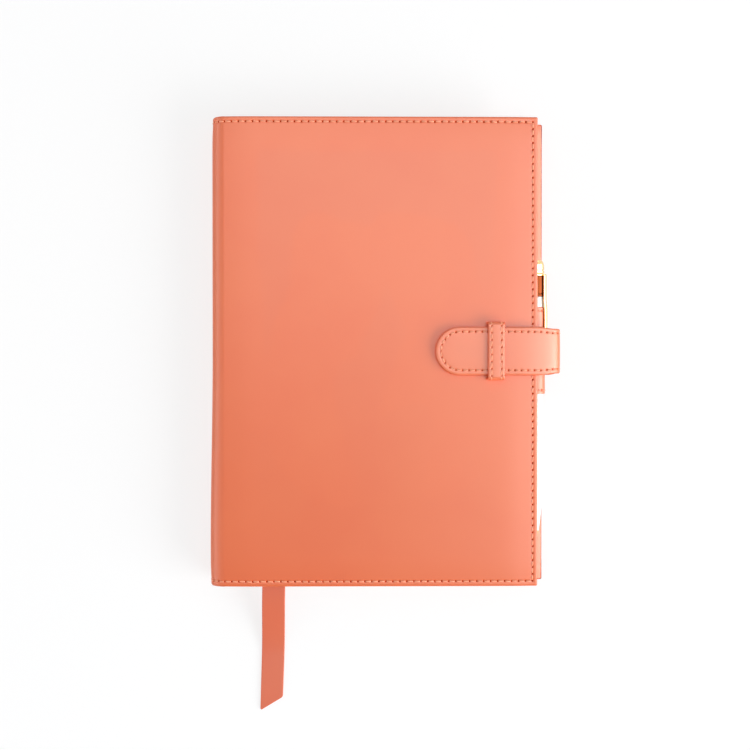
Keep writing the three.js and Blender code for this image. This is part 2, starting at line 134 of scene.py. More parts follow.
class JournalColours(bpy.types.PropertyGroup):
    """Colours of the finishes."""

    leather: colour_setting("Leather", "Colour of the outer leather", (0.79, 0.142, 0.034))
    # painted light: the strap, keeper, pen loop and pocket flaps get a lighter copy of the cover leather,
    # which stands for the brighter light they catch
    strap: colour_setting(
        "Strap leather", "Colour of the strap, keeper and pen loop, cut from a paler hide",
        (0.83, 0.19, 0.075))
    bookmark: colour_setting(
        "Bookmark leather", "Colour of the thin leather of the bookmark", (0.70, 0.132, 0.05))
    lining: colour_setting("Lining", "Colour of the lining leather", (0.74, 0.155, 0.052))
    thread: colour_setting("Thread", "Colour of the seam thread", (1.0, 0.36, 0.185))
    paper: colour_setting("Paper", "Colour of the leaves", (0.86, 0.80, 0.68))
    gold: colour_setting("Gold", "Colour of the gold plate", (0.94, 0.67, 0.33))
    lacquer: colour_setting("Lacquer", "Colour of the pen's barrel", (0.92, 0.92, 0.91))


# Mesh building

def quads(rows, cols, wrap=False, start=0):
    """Corners of the quads of a grid of points numbered row by row; wrap joins the last column to the
    first."""
    r = np.arange(rows - 1)[:, None]
    c = np.arange(cols if wrap else cols - 1)[None, :]
    d = (c + 1) % cols
    faces = np.stack([r * cols + c, r * cols + d, (r + 1) * cols + d, (r + 1) * cols + c], -1)
    return faces.reshape(-1, 4) + start


def closing_quads(rows, cols):
    """Quads that join the last row of a grid of rings to the first."""
    last = quads(2, cols, wrap=True)
    return np.where(last >= cols, last - cols, last + (rows - 1) * cols)


def end_caps(rows, cols):
    """Two faces that fill the first and the last ring of a grid of rings."""
    return np.array([np.arange(cols)[::-1], np.arange(cols) + (rows - 1) * cols])


def signed_volume(points, faces):
    """Volume inside a closed set of faces, positive if they face outwards; each face is a fan of
    triangles."""
    total = 0.0
    origin = points.mean(0)
    for f in faces:
        p = points[f] - origin
        for k in range(1, f.shape[1] - 1):
            total += np.einsum("ij,ij->", p[:, 0], np.cross(p[:, k], p[:, k + 1]))
    return total / 6


def closed_part(points, *faces):
    """Points with face arrays, turned round together if they face inwards."""
    if signed_volume(points, faces) < 0:
        faces = [f[:, ::-1] for f in faces]
    return points, faces


def band_part(loop, close=False):
    """A closed skin from a stack of loops (n, m, 3). Each loop's points run out along one face and back
    along the other, so that point j lies opposite point m-1-j. Both end loops are filled across, or
    else close joins them."""
    n, m = loop.shape[:2]
    points = loop.reshape(-1, 3)
    side = quads(n, m, wrap=True)
    if close:
        return closed_part(points, np.vstack([side, closing_quads(n, m)]))
    j = np.arange(m // 2 - 1)
    cap = np.stack([j, j + 1, m - 2 - j, m - 1 - j], -1)
    return closed_part(points, np.vstack([side, cap, cap[:, ::-1] + (n - 1) * m]))


def piece(name, parts, finish, body=None, replaces=(), shade=None, uv=None, sharp=40, merge=True,
          recalc=False):
    """One mesh object from parts given in millimetres, with its finish, body and the CAD nodes it
    stands for. An error is raised if a point has no place."""
    offset = 0
    points = []
    loops = []
    sizes = []
    for pts, faces in parts:
        points.append(pts)
        for f in faces:
            loops.append((f + offset).ravel())
            sizes.append(np.full(len(f), f.shape[1]))
        offset += len(pts)
    points = np.vstack(points) * MM
    if not np.isfinite(points).all():
        raise ValueError(f"{name} has a point with no place")
    loops = np.concatenate(loops)
    sizes = np.concatenate(sizes)
    mesh = bpy.data.meshes.new(name)
    mesh.vertices.add(len(points))
    mesh.vertices.foreach_set("co", points.astype(np.float32).ravel())
    mesh.loops.add(len(loops))
    mesh.loops.foreach_set("vertex_index", loops.astype(np.int32))
    mesh.polygons.add(len(sizes))
    starts = np.concatenate([[0], np.cumsum(sizes)[:-1]])
    mesh.polygons.foreach_set("loop_start", starts.astype(np.int32))
    mesh.update(calc_edges=True)
    if shade is not None:
        layer = mesh.attributes.new("shade", "FLOAT", "POINT")
        layer.data.foreach_set("value", np.asarray(shade, np.float32))
    if uv is not None:
        layer = mesh.uv_layers.new(name="UVMap")
        layer.data.foreach_set("uv", np.asarray(uv, np.float32)[loops].ravel())
    if merge or recalc:
        work = bmesh.new()
        work.from_mesh(mesh)
        if merge:
            bmesh.ops.remove_doubles(work, verts=work.verts, dist=4e-7)
        if recalc:
            bmesh.ops.recalc_face_normals(work, faces=work.faces)
        work.to_mesh(mesh)
        work.free()
    mesh.polygons.foreach_set("use_smooth", np.ones(len(mesh.polygons), bool))
    mesh.set_sharp_from_angle(angle=math.radians(sharp))
    mesh.update()
    obj = bpy.data.objects.new(name, mesh)
    bpy.context.scene.collection.objects.link(obj)
    obj.data.materials.append(finish)
    if replaces:
        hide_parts(*replaces)
    if body:
        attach(obj, body)
    return obj


def bend(obj, first, second, start, end):
    """Bakes a piece's placement into its mesh."""
    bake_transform(obj)


# Leather relief

def smooth(t):
    """A smooth step from 0 to 1 as t goes from 0 to 1."""
    t = np.clip(t, 0, 1)
    return t * t * (3 - 2 * t)


def rounded(d, radius):
    """Fall of a rounded edge at a distance d in from it: a quarter circle of the given radius, 0 further
    in."""
    t = np.clip(1 - d / radius, 0, 1)
    return radius * (1 - np.sqrt(np.clip(1 - t * t, 0, 1)))


def bell(d, width, centre=0.0):
    """A bell curve, 1 at its centre: e to the minus square of the distance in widths."""
    return np.exp(-((d - centre) / width) ** 2)


def sewn(off, along, pitch):
    """Depth and darkness of a sewn row: a channel at off = 0 with a pit at every whole pitch along it; the
    darkness is painted shade in the pits.
    """
    near = np.abs(along - np.round(along / pitch) * pitch)
    pit = np.exp(-((off / HOLE_ACROSS) ** 2 + (near / HOLE_ALONG) ** 2) ** 1.4)
    return CHANNEL_DEPTH * bell(off, CHANNEL_WIDTH) + HOLE_DEPTH * pit, np.clip(1.3 * pit, 0, 1)


def panel_level(dx, dy, padding):
    """Height of a padded cover's face: it falls along a bell curve towards the sewn edges."""
    return -padding * (bell(dx, 8.5) + 0.7 * bell(dy, 7.0))


def edge_level(d):
    """Height of the turned edge outside the seam: a low bead, then a rounded rim."""
    return 0.08 * bell(d, 0.7, 1.25) - rounded(d, 0.65)


EDGE_STEPS = np.array([0, .05, .16, .34, .58, .9, 1.25, 1.6, 1.9, 2.1, 2.25, 2.38, 2.5, 2.62, 2.75, 2.9,
                       3.1, 3.45, 3.9, 4.6])
UNDER_STEPS = np.array([0, .06, .2, .45, TURN_IN - 0.05, TURN_IN, TURN_IN + .4])
STITCH_STEPS = np.array([0, .045, .09, .14, .22, .5, .78, .86, .91, .955])


def seam_params(count):
    """Places along a row of stitches, 0 to 1, close together at every hole."""
    k = np.arange(count)[:, None] + STITCH_STEPS[None, :]
    return np.append(k.ravel(), count) / count


def fans(fine, a, b):
    """Triangles between runs of fine points, one run in a row of the array, and the coarse edges a-b
    opposite."""
    mid = fine.shape[1] // 2
    apex = np.where(np.arange(fine.shape[1] - 1)[None, :] < mid, a[:, None], b[:, None])
    tri = np.stack([fine[:, :-1], fine[:, 1:], apex], -1).reshape(-1, 3)
    return np.vstack([tri, np.stack([fine[:, mid], b, a], -1)])


class Cover:
    """One cover panel: x from the fold to the fore-edge, y both ways, its outer face at a given height."""

    def __init__(self, x1, outer_z, up, padding, pitch):
        self.x0, self.x1, self.half = FOLD_X, x1, HALF
        self.outer_z, self.up, self.padding = outer_z, up, padding
        self.tail_count = int(round((x1 - SEAM_INSET - self.x0) / pitch))
        self.fore_count = int(round(2 * (HALF - SEAM_INSET) / pitch))
        self.tail_pitch = (x1 - SEAM_INSET - self.x0) / self.tail_count
        self.fore_pitch = 2 * (HALF - SEAM_INSET) / self.fore_count

    def row_level(self, x, y):
        """Height of the outer face with no sewing."""
        dx = self.x1 - x
        dy = self.half - np.abs(y)
        return panel_level(dx, dy, self.padding) + edge_level(np.minimum(dx, dy)) + fold_level(x)

    def surface(self, x, y):
        """Height of the outer face and its darkness, painted shade in the seam holes: the face with no
        sewing, a slight swell on the front cover and the sewn rows, each kept to its own side at the
        corners."""
        dx = self.x1 - x
        dy = self.half - np.abs(y)
        level = self.row_level(x, y)
        if self.up > 0:
            u = np.clip((x - self.x0) / (self.x1 - self.x0), 0, 1)
            swell = np.sin(np.pi * u) ** 2 * np.cos(np.pi * y / (2 * self.half)) ** 2
            level = level + 0.22 * swell
            level = level + 0.035 * swell * np.sin(x / 13 + 1.3) * np.sin(y / 19 + 0.4)
        head, head_dark = sewn(dy - SEAM_INSET, x - self.x0, self.tail_pitch)
        fore, fore_dark = sewn(dx - SEAM_INSET, y + self.half - SEAM_INSET, self.fore_pitch)
        on_head, on_fore = (1 / (1 + np.exp(-(d - SEAM_INSET + 0.3) * 9)) for d in (dx, dy))
        depth = np.maximum(head * on_head, fore * on_fore)
        dark = np.maximum(head_dark * on_head, fore_dark * on_fore)
        return level - depth, dark

    def corner(self, x, y, radius=0.8):
        """Rounds the two fore-edge corners: a square of the corner's size is pressed onto a quarter
        disc."""
        u = np.clip(x - (self.x1 - radius), 0, None)
        v = np.clip(np.abs(y) - (self.half - radius), 0, None)
        a = u * np.sqrt(np.clip(1 - v * v / (2 * radius ** 2), 0, None))
        b = v * np.sqrt(np.clip(1 - u * u / (2 * radius ** 2), 0, None))
        return x - u + a, y - np.sign(y) * (v - b)

    def frame_points(self, steps):
        """Points of the three-sided border, (columns, steps): from the tail's fold end round to the head's,
        at the given insets, on lines that meet on the corners' diagonals."""
        t = seam_params(self.tail_count)[:, None]
        f = seam_params(self.fore_count)[:, None]
        d = steps[None, :]
        width = self.x1 - d - self.x0
        tail = (self.x0 + t * width, -self.half + d + 0 * t)
        fore = (self.x1 - d + 0 * f, (-self.half + d) + f * 2 * (self.half - d))
        head = (self.x0 + t[::-1] * width, self.half - d + 0 * t)
        x = np.vstack([tail[0], fore[0][1:], head[0][1:]])
        y = np.vstack([tail[1], fore[1][1:], head[1][1:]])
        return x, y

    def face(self, steps, level, corner=True):
        """One face: the border in fine steps, a ring of fans and a coarse grid inside. Returns points,
        quads, triangles, darkness, the outer ring's indices and the fold side's indices from tail to
        head."""
        x, y = self.frame_points(steps)
        z, dark = level(x, y)
        cols, rows = x.shape
        if corner:
            x, y = self.corner(x, y)
        border = np.stack([x, y, z], -1).reshape(-1, 3)
        faces = [quads(cols, rows)]
        per = len(STITCH_STEPS)
        inset = steps[-1]
        nx, ny = self.tail_count, self.fore_count
        gx = self.x0 + np.arange(nx) / nx * (self.x1 - inset - self.x0)
        gy = -(self.half - inset) + np.arange(1, ny) / ny * 2 * (self.half - inset)
        grid_x, grid_y = np.meshgrid(gx, gy, indexing="ij")
        gz, gdark = level(grid_x, grid_y)
        inner = np.stack([grid_x, grid_y, gz], -1).reshape(-1, 3)
        base = len(border)
        faces.append(quads(nx, ny - 1, start=base))
        ring = np.arange(cols) * rows + rows - 1
        span = np.arange(per + 1)[None, :]
        k = np.arange(nx - 1)
        row = base + k * (ny - 1)
        tri = [fans(ring[k[:, None] * per + span], row, row + ny - 1),
               fans(ring[cols - 1 - k[:, None] * per - span], row + ny - 2, row + 2 * ny - 3)]
        first = nx * per
        last = base + (nx - 1) * (ny - 1)
        k = np.arange(1, ny - 1)
        tri.append(fans(ring[first + k[:, None] * per + span], last + k - 1, last + k))
        for lo, apex in ((first - per, last), (first + (ny - 1) * per, last + ny - 2)):
            run = ring[lo:lo + 2 * per + 1]
            tri.append(np.stack([run[:-1], run[1:], np.full(2 * per, apex)], -1))
        points = np.vstack([border, inner])
        shade = np.concatenate([dark.ravel(), gdark.ravel()])
        outer = np.arange(cols) * rows
        fold = np.concatenate([
            np.arange(rows), base + np.arange(ny - 1), (cols - 1) * rows + np.arange(rows)[::-1]])
        return points, faces, np.vstack(tri), shade, outer, fold

    def part(self):
        """The closed leather: outer face, inner face with a recess for the board, the rim between and
        the fold end."""
        up = self.up

        def outer(x, y):
            level, dark = self.surface(x, y)
            return self.outer_z + up * level, dark

        def under(x, y):
            d = np.minimum(self.x1 - x, self.half - np.abs(y))
            depth = np.where(d < TURN_IN - 0.01, COVER_T, LEATHER_T) - rounded(d, 0.5)
            if up < 0:
                depth = depth - np.where(d < TURN_IN - 0.01, 0.17 * (TURN_IN - d), 0)
            return self.outer_z - up * depth, 0 * x

        p1, f1, t1, s1, ring1, fold1 = self.face(EDGE_STEPS, outer)
        p2, f2, t2, s2, ring2, fold2 = self.face(UNDER_STEPS, under)
        base = len(p1)
        points = np.vstack([p1, p2])
        rim = np.stack([ring1[:-1], ring1[1:], ring2[1:] + base, ring2[:-1] + base], -1)
        one = [f[:, ::-1] for f in f1] + [t1[:, ::-1]]
        two = [f + base for f in f2] + [t2 + base]
        cap = np.concatenate([fold1, (fold2 + base)[::-1]])[None, :]
        return (points, one + two + [rim, cap]), np.concatenate([s1, s2])

    def stitches(self, radius, rise):
        """Stitches of the three sides, from hole to hole."""
        xs = self.x0 + np.arange(self.tail_count + 1) * self.tail_pitch
        ys = -self.half + SEAM_INSET + np.arange(self.fore_count + 1) * self.fore_pitch
        row_y = self.half - SEAM_INSET
        tail, head = (np.stack([xs, np.full(len(xs), y)], -1) for y in (-row_y, row_y))
        fore = np.stack([np.full(len(ys), self.x1 - SEAM_INSET), ys], -1)
        start = np.vstack([row[:-1] for row in (tail, head, fore)])
        end = np.vstack([row[1:] for row in (tail, head, fore)])
        level = self.row_level(start[:, 0], start[:, 1])
        z = (self.outer_z + self.up * level)[:, None]
        normal = np.tile([0, 0, float(self.up)], (len(start), 1))
        return thread_parts(np.hstack([start, z]), np.hstack([end, z]), normal, normal, radius, rise)


STITCH_PLACES = np.array([0.115, 0.15, 0.22, 0.35, 0.5, 0.65, 0.78, 0.85, 0.885])
STITCH_SIDES = 8
STITCH_SINK = 0.36
STITCH_RISE = 0.24
COVER_RISE, BACK_RISE = 0.26, 0.22


def thread_parts(start, end, normal_a, normal_b, radius, rise=STITCH_RISE, sink=STITCH_SINK):
    """Stitches as one part: each is a tube whose centre line rises from its first hole, stands a little
    proud and sinks into the next, and is thinner where it enters the leather."""
    count = len(start)
    t = STITCH_PLACES
    angle = np.arange(STITCH_SIDES) / STITCH_SIDES * 2 * np.pi
    along = end - start
    length = np.linalg.norm(along, axis=1, keepdims=True)
    direction = along / length
    normal = normal_a[:, None, :] * (1 - t[None, :, None]) + normal_b[:, None, :] * t[None, :, None]
    normal /= np.linalg.norm(normal, axis=2, keepdims=True)
    side = np.cross(np.broadcast_to(direction[:, None, :], normal.shape), normal)
    swell = np.sin(np.pi * (t - 0.095) / 0.81)
    height = -sink + (rise + sink * 0.45) * swell ** 0.45
    slant = (t - 0.5) * 0.14
    wobble = 0.05 * np.sin(np.arange(count) * 2.4)
    # between two bent normals the chord lies below the surface, so the middle is lifted by the arc's height
    turn = np.arccos(np.clip(np.einsum("ij,ij->i", normal_a, normal_b), -1, 1))
    lift = (length[:, 0] * np.tan(turn / 4) / 2)[:, None] * (4 * t * (1 - t))[None, :]
    centre = start[:, None, :] + along[:, None, :] * t[None, :, None]
    centre = centre + normal * (height[None, :] + lift)[..., None]
    centre = centre + side * (slant[None, :] + wobble[:, None])[..., None]
    size = radius * (0.62 + 0.38 * swell ** 0.6)
    ring = side[:, :, None, :] * np.cos(angle)[None, None, :, None] * 1.08
    ring = ring + normal[:, :, None, :] * np.sin(angle)[None, None, :, None] * 0.92
    points = centre[:, :, None, :] + ring * size[None, :, None, None]
    rows, cols = len(t), STITCH_SIDES
    flat = points.reshape(-1, 3)
    one = (quads(rows, cols, wrap=True), end_caps(rows, cols))
    if signed_volume(flat[:rows * cols], one) < 0:
        one = [f[:, ::-1] for f in one]
    shift = (np.arange(count) * rows * cols)[:, None, None]
    faces = [(f[None] + shift).reshape(-1, f.shape[1]) for f in one]
    u = np.broadcast_to((t[None, :] * length)[:, :, None], points.shape[:3])
    v = np.broadcast_to((angle / (2 * np.pi))[None, None, :], points.shape[:3])
    return (flat, faces), np.stack([u, v], -1).reshape(-1, 2)


def stitch_row(spots, normals, radius, **lay):
    """Stitches from each spot to the next along a row."""
    return thread_parts(spots[:-1], spots[1:], normals[:-1], normals[1:], radius, **lay)


def thread_piece(name, rows, finish, body=None, replaces=()):
    """One piece from several rows of stitches."""
    parts = [r[0] for r in rows]
    uv = np.vstack([r[1] for r in rows])
    return piece(name, parts, finish, body, replaces, uv=uv, sharp=60, merge=False)


# Bands: leather carried along a path in a plane of constant Y, its width along Y

def run_length(points):
    """Lengths along a path, from 0 at its start to the whole."""
    return np.concatenate([[0], np.cumsum(np.linalg.norm(np.diff(points, axis=0), axis=1))])


def path_frame(points, plane="xz"):
    """Lengths along a path of (a, z) points, its points in space and its normals: the tangent turned by a
    quarter. The plane says whether a is X or Y."""
    step = np.gradient(points, axis=0)
    step /= np.linalg.norm(step, axis=1, keepdims=True)
    normal = np.stack([step[:, 1], -step[:, 0]], -1)
    lift = np.array([[1, 0, 0] if plane == "xz" else [0, 1, 0], [0, 0, 1]])
    return run_length(points), points @ lift, normal @ lift


def walk(points, spacing):
    """A path of (a, z) points laid again through given shares of its length, by linear steps between
    close points."""
    length = run_length(points)
    s = spacing * length[-1]
    return np.stack([np.interp(s, length, points[:, 0]), np.interp(s, length, points[:, 1])], -1)


def along_path(at, length, base, normal):
    """Points and unit normals at given lengths along a path."""
    p = np.stack([np.interp(at, length, base[:, i]) for i in range(3)], -1)
    n = np.stack([np.interp(at, length, normal[:, i]) for i in range(3)], -1)
    return p, n / np.linalg.norm(n, axis=1, keepdims=True)


def circle_run(cx, cz, radius, start, end, steps=400):
    """Points on an arc between two angles in degrees."""
    a = np.radians(np.linspace(start, end, steps))
    return np.stack([cx + radius * np.cos(a), cz + radius * np.sin(a)], -1)


def line_run(a, b, steps=200):
    """Points on a straight line, both ends included."""
    t = np.linspace(0, 1, steps)[:, None]
    return np.array(a) * (1 - t) + np.array(b) * t


def join_runs(*runs):
    """Runs of points one after another, without the repeated joint."""
    return np.vstack([runs[0]] + [run[1:] for run in runs[1:]])


def across_steps(half, steps, inner):
    """Places across a band: the given edge steps from both long edges and an even run between them."""
    low = -half + steps
    middle = np.linspace(low[-1], -low[-1], inner)[1:-1]
    return np.concatenate([low, middle, -low[::-1]])


def band_loops(base, normal, side, width, outer, inner):
    """Loops of a band: point = base + side * width + normal * height, on its outer and then its inner
    face."""
    line = base[:, None, :] + side[None, None, :] * width[..., None]
    top = line + normal[:, None, :] * outer[..., None]
    under = line + normal[:, None, :] * inner[..., None]
    return np.concatenate([top, under[:, ::-1]], 1)


def spine_path(upper):
    """Half of the spine's outer line in X and Z: a quarter round from a cover's fold and half of the
    flat strip."""
    if upper:
        return join_runs(line_run((SPINE_X, MIDDLE_Z), (SPINE_X, CLOSED - FOLD_R)),
                         circle_run(FOLD_X, CLOSED - FOLD_R, FOLD_R, 180, 90))
    return join_runs(circle_run(FOLD_X, FOLD_R, FOLD_R, 270, 180),
                     line_run((SPINE_X, FOLD_R), (SPINE_X, MIDDLE_Z)))


def outward(base, normal, centre):
    """Normals turned so that they point away from a centre in X and Z."""
    away = base - np.array([centre[0], 0, centre[1]])
    sign = np.sign(np.einsum("ij,ij->i", away, normal))
    return normal * np.where(sign == 0, 1, sign)[:, None]


def lean(from_fold, y):
    """Height added to the spine's face at lengths from its fold and places along Y: it carries on the
    cover's sinking and then, on the side, leans in a little above the spine's middle and out below it."""
    low = smooth((y + 95) / 95)
    side = smooth(from_fold / 11)[:, None]
    return (1 - side) * (-FOLD_SINK - FOLD_SLOPE * from_fold[:, None]) + side * (0.5 - 1.05 * low)


def fold_level(x):
    """Height of a cover's face near the fold: a parabola that sinks over the last stretch before it."""
    t = np.clip((FOLD_X + FOLD_REACH - x) / FOLD_REACH, 0, 1)
    return -FOLD_SINK * t * t


def build_spine(upper, sizes, leather, lining, thread):
    """Half of the spine's leather, its lining and the stitches at its two ends."""
    name = "upper" if upper else "lower"
    strips = "c" if upper else "ab"
    bodies = ("spine_b", "front_cover") if upper else ("back_cover", "spine_b")
    ends = ((SPINE_X, 0, CLOSED - FOLD_R), (FOLD_X, 0, CLOSED)) if upper else (
        (FOLD_X, 0, 0), (SPINE_X, 0, FOLD_R))
    middle = (FOLD_X, MIDDLE_Z)
    line = spine_path(upper)
    total = run_length(line)[-1]
    count = int(round(total / (sizes.seam_pitch / MM)))
    pitch = total / count
    far_in = 1e3

    def strip(spots, across):
        """Places of a strip: lengths, line, normals, widths, insets from its ends and its leaning."""
        length, base, normal = path_frame(walk(line, spots))
        width = across[None, :] + 0 * length[:, None]
        leaning = lean(length[-1] - length if upper else length, width)
        return length, base, outward(base, normal, middle), width, across[-1] - np.abs(width), leaning

    across = across_steps(HALF, EDGE_STEPS, 45)
    length, base, normal, width, dy, leaning = strip(seam_params(count), across)
    depth, dark = sewn(dy - SEAM_INSET, length[:, None] + 0 * width, pitch)
    padding = sizes.padding / MM
    outer = panel_level(far_in, dy, padding) + edge_level(dy) - depth + leaning
    under = -LEATHER_T + rounded(dy, 0.4) * 0.6 + leaning
    loop = band_loops(base, normal, SPAN_Y, width, outer, under)
    obj = piece(f"spine_leather_{name}", [band_part(loop)], leather, merge=False,
                replaces=[f"spine_leather_{k}" for k in strips],
                shade=np.concatenate([dark, 0 * dark], 1).ravel())
    bend(obj, *bodies, *ends)

    across = across_steps(node_box("spine_lining_a")[1][1], np.array([0, .05, .15, .3, .8]), 20)
    _, base, normal, width, dy, leaning = strip(np.linspace(0, 1, 26), across)
    outer = -LEATHER_T - 0.004 - rounded(dy, 0.2) * 0.5 + leaning
    under = -LEATHER_T - LINING_T + rounded(dy, 0.2) + leaning
    loop = band_loops(base, normal, SPAN_Y, width, outer, under)
    obj = piece(f"spine_lining_{name}", [band_part(loop)], lining,
                replaces=[f"spine_lining_{k}" for k in strips])
    bend(obj, *bodies, *ends)

    holes = walk(line, np.arange(count + 1) / count)
    fine = 400
    _, base, normal = path_frame(walk(line, np.linspace(0, 1, fine + 1)))
    at = np.round(np.arange(count + 1) / count * fine).astype(int)
    normal = outward(base, normal, middle)[at]
    level = panel_level(far_in, SEAM_INSET, padding) + edge_level(np.array(SEAM_INSET))
    far = np.arange(count + 1) * pitch
    rise = COVER_RISE if upper else BACK_RISE
    rows = []
    for y in (-HALF + SEAM_INSET, HALF - SEAM_INSET):
        spot = np.stack([holes[:, 0], np.full(count + 1, y), holes[:, 1]], -1)
        spot = spot + normal * (level + lean(far[::-1] if upper else far, np.full((1, 1), y)))
        rows.append(stitch_row(spot, normal, sizes.thread_radius / MM, rise=rise))
    bend(thread_piece(f"spine_stitches_{name}", rows, thread), *bodies, *ends)


# Flat sheets inside the covers

def sheet_part(x, y, z, edge, fold_side=False, recess=None, waves=0.0):
    """A flat sheet with rounded edges, as a grid of two faces. recess cuts its outer-side face back
    inside three sides and presses the other face down along the fore-edge, and waves give the leather's
    slight unevenness."""
    steps = np.array([0, .06, .18, .4, 1.0]) * edge
    inner_x = np.linspace(x[0] + 1.0, x[1] - 1.0, 40)[1:-1]
    inner_y = np.linspace(y[0] + 1.0, y[1] - 1.0, 60)[1:-1]
    if recess:
        edge_x, edge_y, depth = recess
        step = np.array([-0.02, 0.02])
        inner_x = np.sort(np.concatenate([inner_x, edge_x + step]))
        inner_y = np.sort(np.concatenate([inner_y, step - edge_y, step + edge_y]))
    xs = np.concatenate([x[0] + steps, inner_x, (x[1] - steps)[::-1]])
    ys = np.concatenate([y[0] + steps, inner_y, (y[1] - steps)[::-1]])
    gx, gy = np.meshgrid(xs, ys, indexing="ij")
    dx = np.minimum(x[1] - gx, 1e3 if fold_side else gx - x[0])
    d = np.minimum(dx, np.minimum(gy - y[0], y[1] - gy))
    drop = rounded(d, edge)
    wave = waves * np.sin(gx / 9 + 0.5) * np.sin(gy / 14 + 1.1) * np.clip(d / 4, 0, 1)
    top = z[1] - drop - np.abs(wave)
    low = z[0] + drop
    if recess:
        cut = (gx < edge_x) & (np.abs(gy) < edge_y)
        press = 0.21 * np.clip(gx - (x[1] - 4.7), 0, None)
        if depth > 0:
            low = np.where(cut, low + depth, low)
            top = top - press
        else:
            top = np.where(cut, top + depth, top)
            low = low + press
    return band_part(np.concatenate([np.stack([gx, gy, top], -1), np.stack([gx, gy, low], -1)[:, ::-1]], 1))


def build_inside(side, leather, lining):
    """Lining and pocket of one cover; the pocket's turned-in sides keep their thickness, and the rest is
    a thin flap."""
    back = side == "back"
    body = f"{side}_cover"
    gap = 0.004
    lo, hi = node_box(f"{side}_lining")
    part = sheet_part((lo[0], hi[0]), (lo[1], hi[1]), (lo[2] + gap, hi[2] - gap), 0.24, True, waves=0.03)
    piece(f"{side}_lining_sheet", [part], lining, body, [f"{side}_lining"], sharp=50)
    lo, hi = node_box(f"{side}_pocket")
    flap = 0.7
    depth = (hi[2] - lo[2]) - flap
    recess = ((BACK_X if back else FRONT_X) - TURN_IN, HALF - TURN_IN, depth if back else -depth)
    part = sheet_part((lo[0], hi[0]), (lo[1], hi[1]), (lo[2], hi[2]), 0.3, recess=recess)
    piece(f"{side}_pocket_flap", [part], leather, body, [f"{side}_pocket"], sharp=50)


# Book block

SIGNATURES = 8
LOWER_SIGNATURES = 4
RIBBON_LO, RIBBON_HI = node_box("bookmark_ribbon")


def fold_line(cx, middle, radius, run_x):
    """A U of paper at one radius: out along the upper sheet, round the fold and back along the lower."""
    a = np.radians(np.linspace(90, 270, 11)[1:-1])
    fold = np.stack([cx + radius * np.cos(a), middle + radius * np.sin(a)], -1)
    upper = np.stack([run_x, np.full(len(run_x), middle + radius)], -1)
    lower = np.stack([run_x[::-1], np.full(len(run_x), middle - radius)], -1)
    return np.vstack([upper, fold, lower])


def pressed(points, number, low_z):
    """A gather's points where it yields. The lower signatures dip under the bookmark, the more the
    higher they lie; the last one is pressed thinner by the fold, which leaves the opened spine room."""
    x, y, z = points[..., 0], points[..., 1], points[..., 2]
    if number == SIGNATURES:
        points[..., 2] -= 0.58 * smooth((-59 - x) / 5) * (z - low_z)
    if number <= LOWER_SIGNATURES:
        share = np.clip((z - STACK_Z) / (MIDDLE_Z - STACK_Z), 0, 1) ** 1.5
        off = (np.abs(x - (RIBBON_LO[0] + RIBBON_HI[0]) / 2) - 5.4) / 2.6
        near = (RIBBON_HI[1] + 3.4 - y) / 3
        points[..., 2] -= 1.09 * share * (1 - smooth(off)) * smooth(near)
    return points


def build_signature(number, sizes, paper):
    """One signature: folded gathers nested in one another, each a U of paper with its own slight offsets
    at the fore-edge, head and tail."""
    name = f"signature_{number}"
    lo, hi = node_box(name)
    thick = hi[2] - lo[2]
    count = sizes.gathers
    leaf = thick / (2 * count)
    half = 0.5 * leaf * 0.93
    middle = (lo[2] + hi[2]) / 2
    cx = lo[0] + thick / 2
    rows = np.concatenate([
        [lo[1]], np.linspace(lo[1] + 1, hi[1] - 9, 12), np.linspace(hi[1] - 8, hi[1], 17)])
    parts = []
    for k in range(count):
        radius = thick / 2 - (k + 0.5) * leaf
        shift = 0.05 * math.sin(number * 5.1 + k * 2.3)
        run_x = np.concatenate([
            [hi[0] - 0.12 + shift], np.linspace(66, -47, 9), np.linspace(-48.5, -61, 14), [-66, -74, cx]])
        section = np.vstack([fold_line(cx, middle, radius + half, run_x),
                             fold_line(cx, middle, max(radius - half, 0.01), run_x)[::-1]])
        y = rows.copy()
        y[0] += 0.1 + 0.06 * math.sin(number * 3.7 + k * 4.1)
        y[-1] -= 0.1 + 0.06 * math.sin(number * 2.9 + k * 3.3)
        points = np.empty((len(y), len(section), 3))
        points[..., 0] = section[None, :, 0]
        points[..., 1] = y[:, None]
        points[..., 2] = section[None, :, 1]
        parts.append(band_part(pressed(points, number, lo[2])))
    body = "back_cover" if number <= LOWER_SIGNATURES else "leaves_upper"
    piece(name + "_leaves", parts, paper, body, [name], sharp=50)


# Strap

STRAP_LO, STRAP_HI = node_box("strap_root")
TONGUE_LO, TONGUE_HI = node_box("tongue_leather")
STRAP_HALF = STRAP_HI[1]
STRAP_LEATHER_T = STRAP_HI[2] - STRAP_LO[2]
STRAP_PADDED = 0.7
STRAP_OUT = node_box("strap_leather_a")[1][0]
STRAP_TOP = TONGUE_HI[2] + STRAP_PADDED
STRAP_T = STRAP_TOP - CLOSED
LOW_R = STRAP_OUT - BACK_X
LOW_Z = LEATHER_T + LOW_R
LOW_CUT_Z = 12.0
HIGH_X = TONGUE_HI[0]
HIGH_R = STRAP_OUT - HIGH_X
FLAT_X = 58.0
STRAP_INSET = 2.3
STRAP_SHIFT = 0.35
TIP_CENTRE = TONGUE_LO[0] + STRAP_HALF
TIP_ROW_R = STRAP_HALF - STRAP_INSET
UP = np.array([0, 0, 1.0])
STRAP_STEPS = np.array([0, .05, .15, .32, .55, .85, 1.2, 1.55, 1.8, 2.0, 2.15, 2.3, 2.45, 2.6, 2.8, 3.1,
                        3.6, 4.3])


